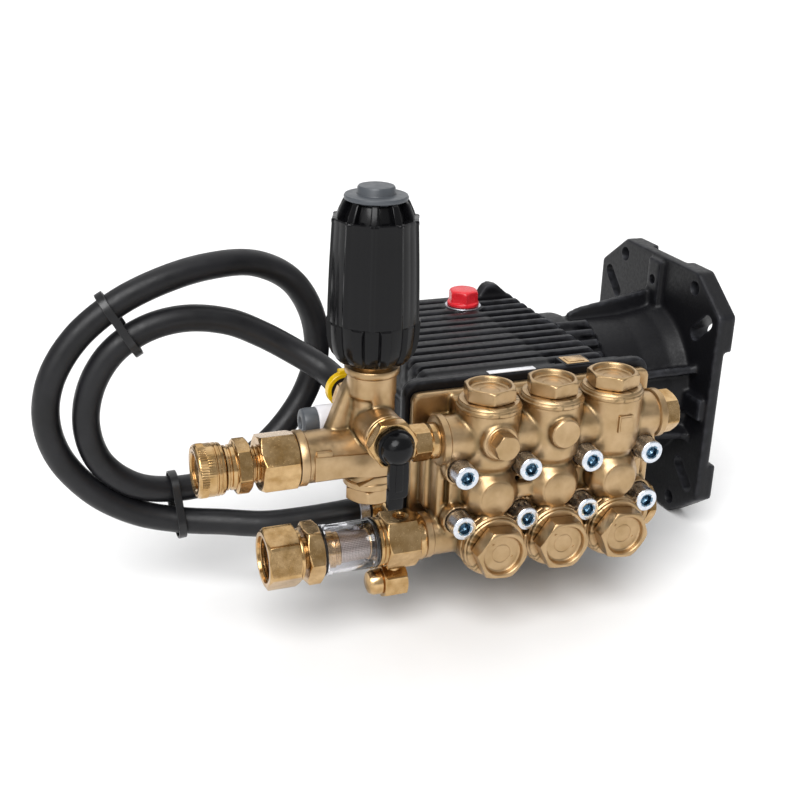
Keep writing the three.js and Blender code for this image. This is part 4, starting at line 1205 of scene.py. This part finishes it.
# ---- stage ----
def camera_and_lights():
    scene = bpy.context.scene
    lens = bpy.data.cameras.new("studio_camera")
    lens.lens, lens.sensor_width = scene.pump_finish.camera_lens, 36.0
    lens.clip_start, lens.clip_end = 0.05, 60
    camera = bpy.data.objects.new("studio_camera", lens)
    azimuth, elevation, roll = math.radians(-21.785), math.radians(22.195), math.radians(-1.918)
    turn = Matrix.Rotation(azimuth, 4, "Z") @ Matrix.Rotation(math.pi / 2 - elevation, 4, "X")
    turn = turn @ Matrix.Rotation(-roll, 4, "Z")
    camera.matrix_world = Matrix.Translation((-0.4503, -0.6527, 0.2886)) @ turn
    scene.collection.objects.link(camera)
    scene.camera = camera
    floor_material, tree, shader = surface("matt_white_paper", Roughness=0.9)
    tree.links.new(
        blend_colours(tree, noise(tree, 60.0), colour("#f4f4f4"), colour("#f8f8f8")), shader.inputs[
            "Base Color"
        ]
    )
    bm = bmesh.new()
    bmesh.ops.create_circle(bm, cap_ends=True, segments=96, radius=FLOOR_RADIUS)
    mesh = bpy.data.meshes.new("studio_floor")
    bm.to_mesh(mesh)
    bm.free()
    mesh.transform(Matrix.Translation((0, 0, CAD_BOX[0].z - 0.0005)))
    mesh.materials.append(floor_material)
    floor = bpy.data.objects.new("studio_floor", mesh)
    scene.collection.objects.link(floor)
    world = bpy.data.worlds.new("studio_room")
    world.use_nodes = True
    background = next(n for n in world.node_tree.nodes if n.type == "BACKGROUND")
    background.inputs["Color"].default_value = (1, 1, 1, 1)
    background.inputs["Strength"].default_value = scene.pump_finish.room_light
    scene.world = world
    scene.view_settings.view_transform = "Standard"
    for name, energy, angle, turn in (
        ("key", 2.6, 42, (38, -14, -18)), ("fill", 1.0, 80, (40, 0, 150)), ("front", 0.5, 50, (62, 0, -48)),
    ):
        lamp = bpy.data.lights.new(f"studio_{name}", "SUN")
        lamp.energy, lamp.angle = energy, math.radians(angle)
        lamp_object = bpy.data.objects.new(f"studio_{name}", lamp)
        lamp_object.rotation_euler = [math.radians(a) for a in turn]
        scene.collection.objects.link(lamp_object)


# ---- the add-on ----
class PumpFinish(bpy.types.PropertyGroup):
    brass_light: bpy.props.FloatVectorProperty(
        name="Forged brass, light", description="Blasted brass where it is clean", subtype="COLOR", size=4,
        min=0, max=1,
        default=colour("#bea27d"),
    )
    brass_dark: bpy.props.FloatVectorProperty(
        name="Forged brass, dark", description="Blasted brass between its pale patches", subtype="COLOR",
        size=4, min=0, max=1,
        default=colour("#a98d66"),
    )
    # brass colour painted into inside corners: tarnish and painted shade together
    brass_tarnish_and_shade: bpy.props.FloatVectorProperty(
        name="Brass in corners", description="Brass in inside corners", subtype="COLOR", size=4, min=0, max=1,
        default=colour("#6b5a3f"),
    )
    turned_brass: bpy.props.FloatVectorProperty(
        name="Turned brass", description="Brass cut from bar", subtype="COLOR", size=4, min=0, max=1,
        default=colour("#d2b182"),
    )
    casting: bpy.props.FloatVectorProperty(
        name="Casting", description="Powder coat of the crankcase and flange", subtype="COLOR", size=4, min=0,
        max=1,
        default=colour("#0f0f12"),
    )
    oil_cap: bpy.props.FloatVectorProperty(
        name="Oil cap", description="Nylon of the oil filler cap", subtype="COLOR", size=4, min=0, max=1,
        default=colour("#d81f2b"),
    )
    clamp: bpy.props.FloatVectorProperty(
        name="Hose clamp", description="Band behind the unloader", subtype="COLOR", size=4, min=0, max=1,
        default=colour("#e9bf10"),
    )
    hose: bpy.props.FloatVectorProperty(
        name="Hose", description="Rubber of the bypass hose", subtype="COLOR", size=4, min=0, max=1,
        default=colour("#0c0c0e"),
    )
    hose_diameter: bpy.props.FloatProperty(
        name="Hose diameter", description="Outside of the bypass hose", unit="LENGTH", min=0.005,
        default=0.0145,
    )
    camera_lens: bpy.props.FloatProperty(
        name="Camera lens", description="Focal length on a 36 mm sensor", unit="CAMERA", min=10,
        default=55.32,
    )
    room_light: bpy.props.FloatProperty(
        name="Room light", description="Strength of the even light all round", min=0, default=0.4,
    )


class PUMP_OT_stage(bpy.types.Operator):
    """Sets the camera, the pale floor and the soft lights"""

    bl_idname = "pump.stage"
    bl_label = "Stage"

    def execute(self, context):
        camera_and_lights()
        MATERIALS.update(build_materials())
        return {"FINISHED"}


class PUMP_OT_hose(bpy.types.Operator):
    """Lays the bypass hose with its clamps and ties"""

    bl_idname = "pump.hose"
    bl_label = "Bypass hose"

    def execute(self, context):
        bypass_hose()
        return {"FINISHED"}


class PUMP_OT_head(bpy.types.Operator):
    """Casts the head and cuts its rings"""

    bl_idname = "pump.head"
    bl_label = "Head"

    def execute(self, context):
        bm = head_casting()
        head_rings(bm)
        finished("head_forging", bm, "forged", node="manifold_head", crease=40, relief=True)
        return {"FINISHED"}


class PUMP_OT_head_fittings(bpy.types.Operator):
    """Makes the valve caps, head bolts and plugs"""

    bl_idname = "pump.head_fittings"
    bl_label = "Caps, bolts and plugs"

    def execute(self, context):
        valve_caps()
        head_bolts()
        head_plugs()
        return {"FINISHED"}


class PUMP_OT_crankcase(bpy.types.Operator):
    """Casts the crankcase and makes its covers, oil cap and plates"""

    bl_idname = "pump.crankcase"
    bl_label = "Crankcase"

    def execute(self, context):
        finished("crankcase_casting", crankcase_casting(), "black", node="crankcase", crease=45, relief=True)
        crankcase_fittings()
        return {"FINISHED"}


class PUMP_OT_flange(bpy.types.Operator):
    """Casts and drills the engine flange"""

    bl_idname = "pump.flange"
    bl_label = "Engine flange"

    def execute(self, context):
        finished(
            "engine_flange_casting", flange_casting(), "black", node="engine_flange", crease=40, relief=True,
        )
        return {"FINISHED"}


class PUMP_OT_unloader(bpy.types.Operator):
    """Makes the unloader, its fittings, knob and lever"""

    bl_idname = "pump.unloader"
    bl_label = "Unloader"

    def execute(self, context):
        bm = unloader_casting()
        unloader_rings(bm)
        finished("unloader_forging", bm, ("forged", "turned"), node="unloader_body", crease=40, relief=True)
        unloader_fittings()
        pressure_knob()
        valve_lever()
        return {"FINISHED"}


class PUMP_OT_outlet(bpy.types.Operator):
    """Makes the outlet nut and quick coupler"""

    bl_idname = "pump.outlet"
    bl_label = "Outlet coupler"

    def execute(self, context):
        outlet_coupler()
        return {"FINISHED"}


class PUMP_OT_inlet(bpy.types.Operator):
    """Makes the inlet strainer, fitting and relief valve"""

    bl_idname = "pump.inlet"
    bl_label = "Inlet strainer"

    def execute(self, context):
        inlet_strainer()
        inlet_fitting()
        return {"FINISHED"}


class PUMP_OT_gear(bpy.types.Operator):
    """Gives the inner pieces their finishes"""

    bl_idname = "pump.gear"
    bl_label = "Running gear"

    def execute(self, context):
        running_gear()
        return {"FINISHED"}


STEPS = (
    PUMP_OT_stage, PUMP_OT_hose, PUMP_OT_head, PUMP_OT_head_fittings, PUMP_OT_crankcase, PUMP_OT_flange,
    PUMP_OT_unloader, PUMP_OT_outlet, PUMP_OT_inlet, PUMP_OT_gear,
)


class PUMP_PT_panel(bpy.types.Panel):
    """Lists the pump's colours and steps"""

    bl_idname = "PUMP_PT_panel"
    bl_label = "Pressure washer pump"
    bl_space_type = "VIEW_3D"
    bl_region_type = "UI"
    bl_category = "Pump"

    def draw(self, context):
        for name in PumpFinish.__annotations__:
            self.layout.prop(context.scene.pump_finish, name)
        for step in STEPS:
            self.layout.operator(step.bl_idname)


CLASSES = (PumpFinish, *STEPS, PUMP_PT_panel)


def register():
    for cls in CLASSES:
        bpy.utils.register_class(cls)
    bpy.types.Scene.pump_finish = bpy.props.PointerProperty(type=PumpFinish)


def unregister():
    del bpy.types.Scene.pump_finish
    for cls in reversed(CLASSES):
        bpy.utils.unregister_class(cls)


def main():
    register()
    for step in STEPS:
        group, name = step.bl_idname.split(".")
        getattr(getattr(bpy.ops, group), name)()


if __name__ == "__main__":
    main()
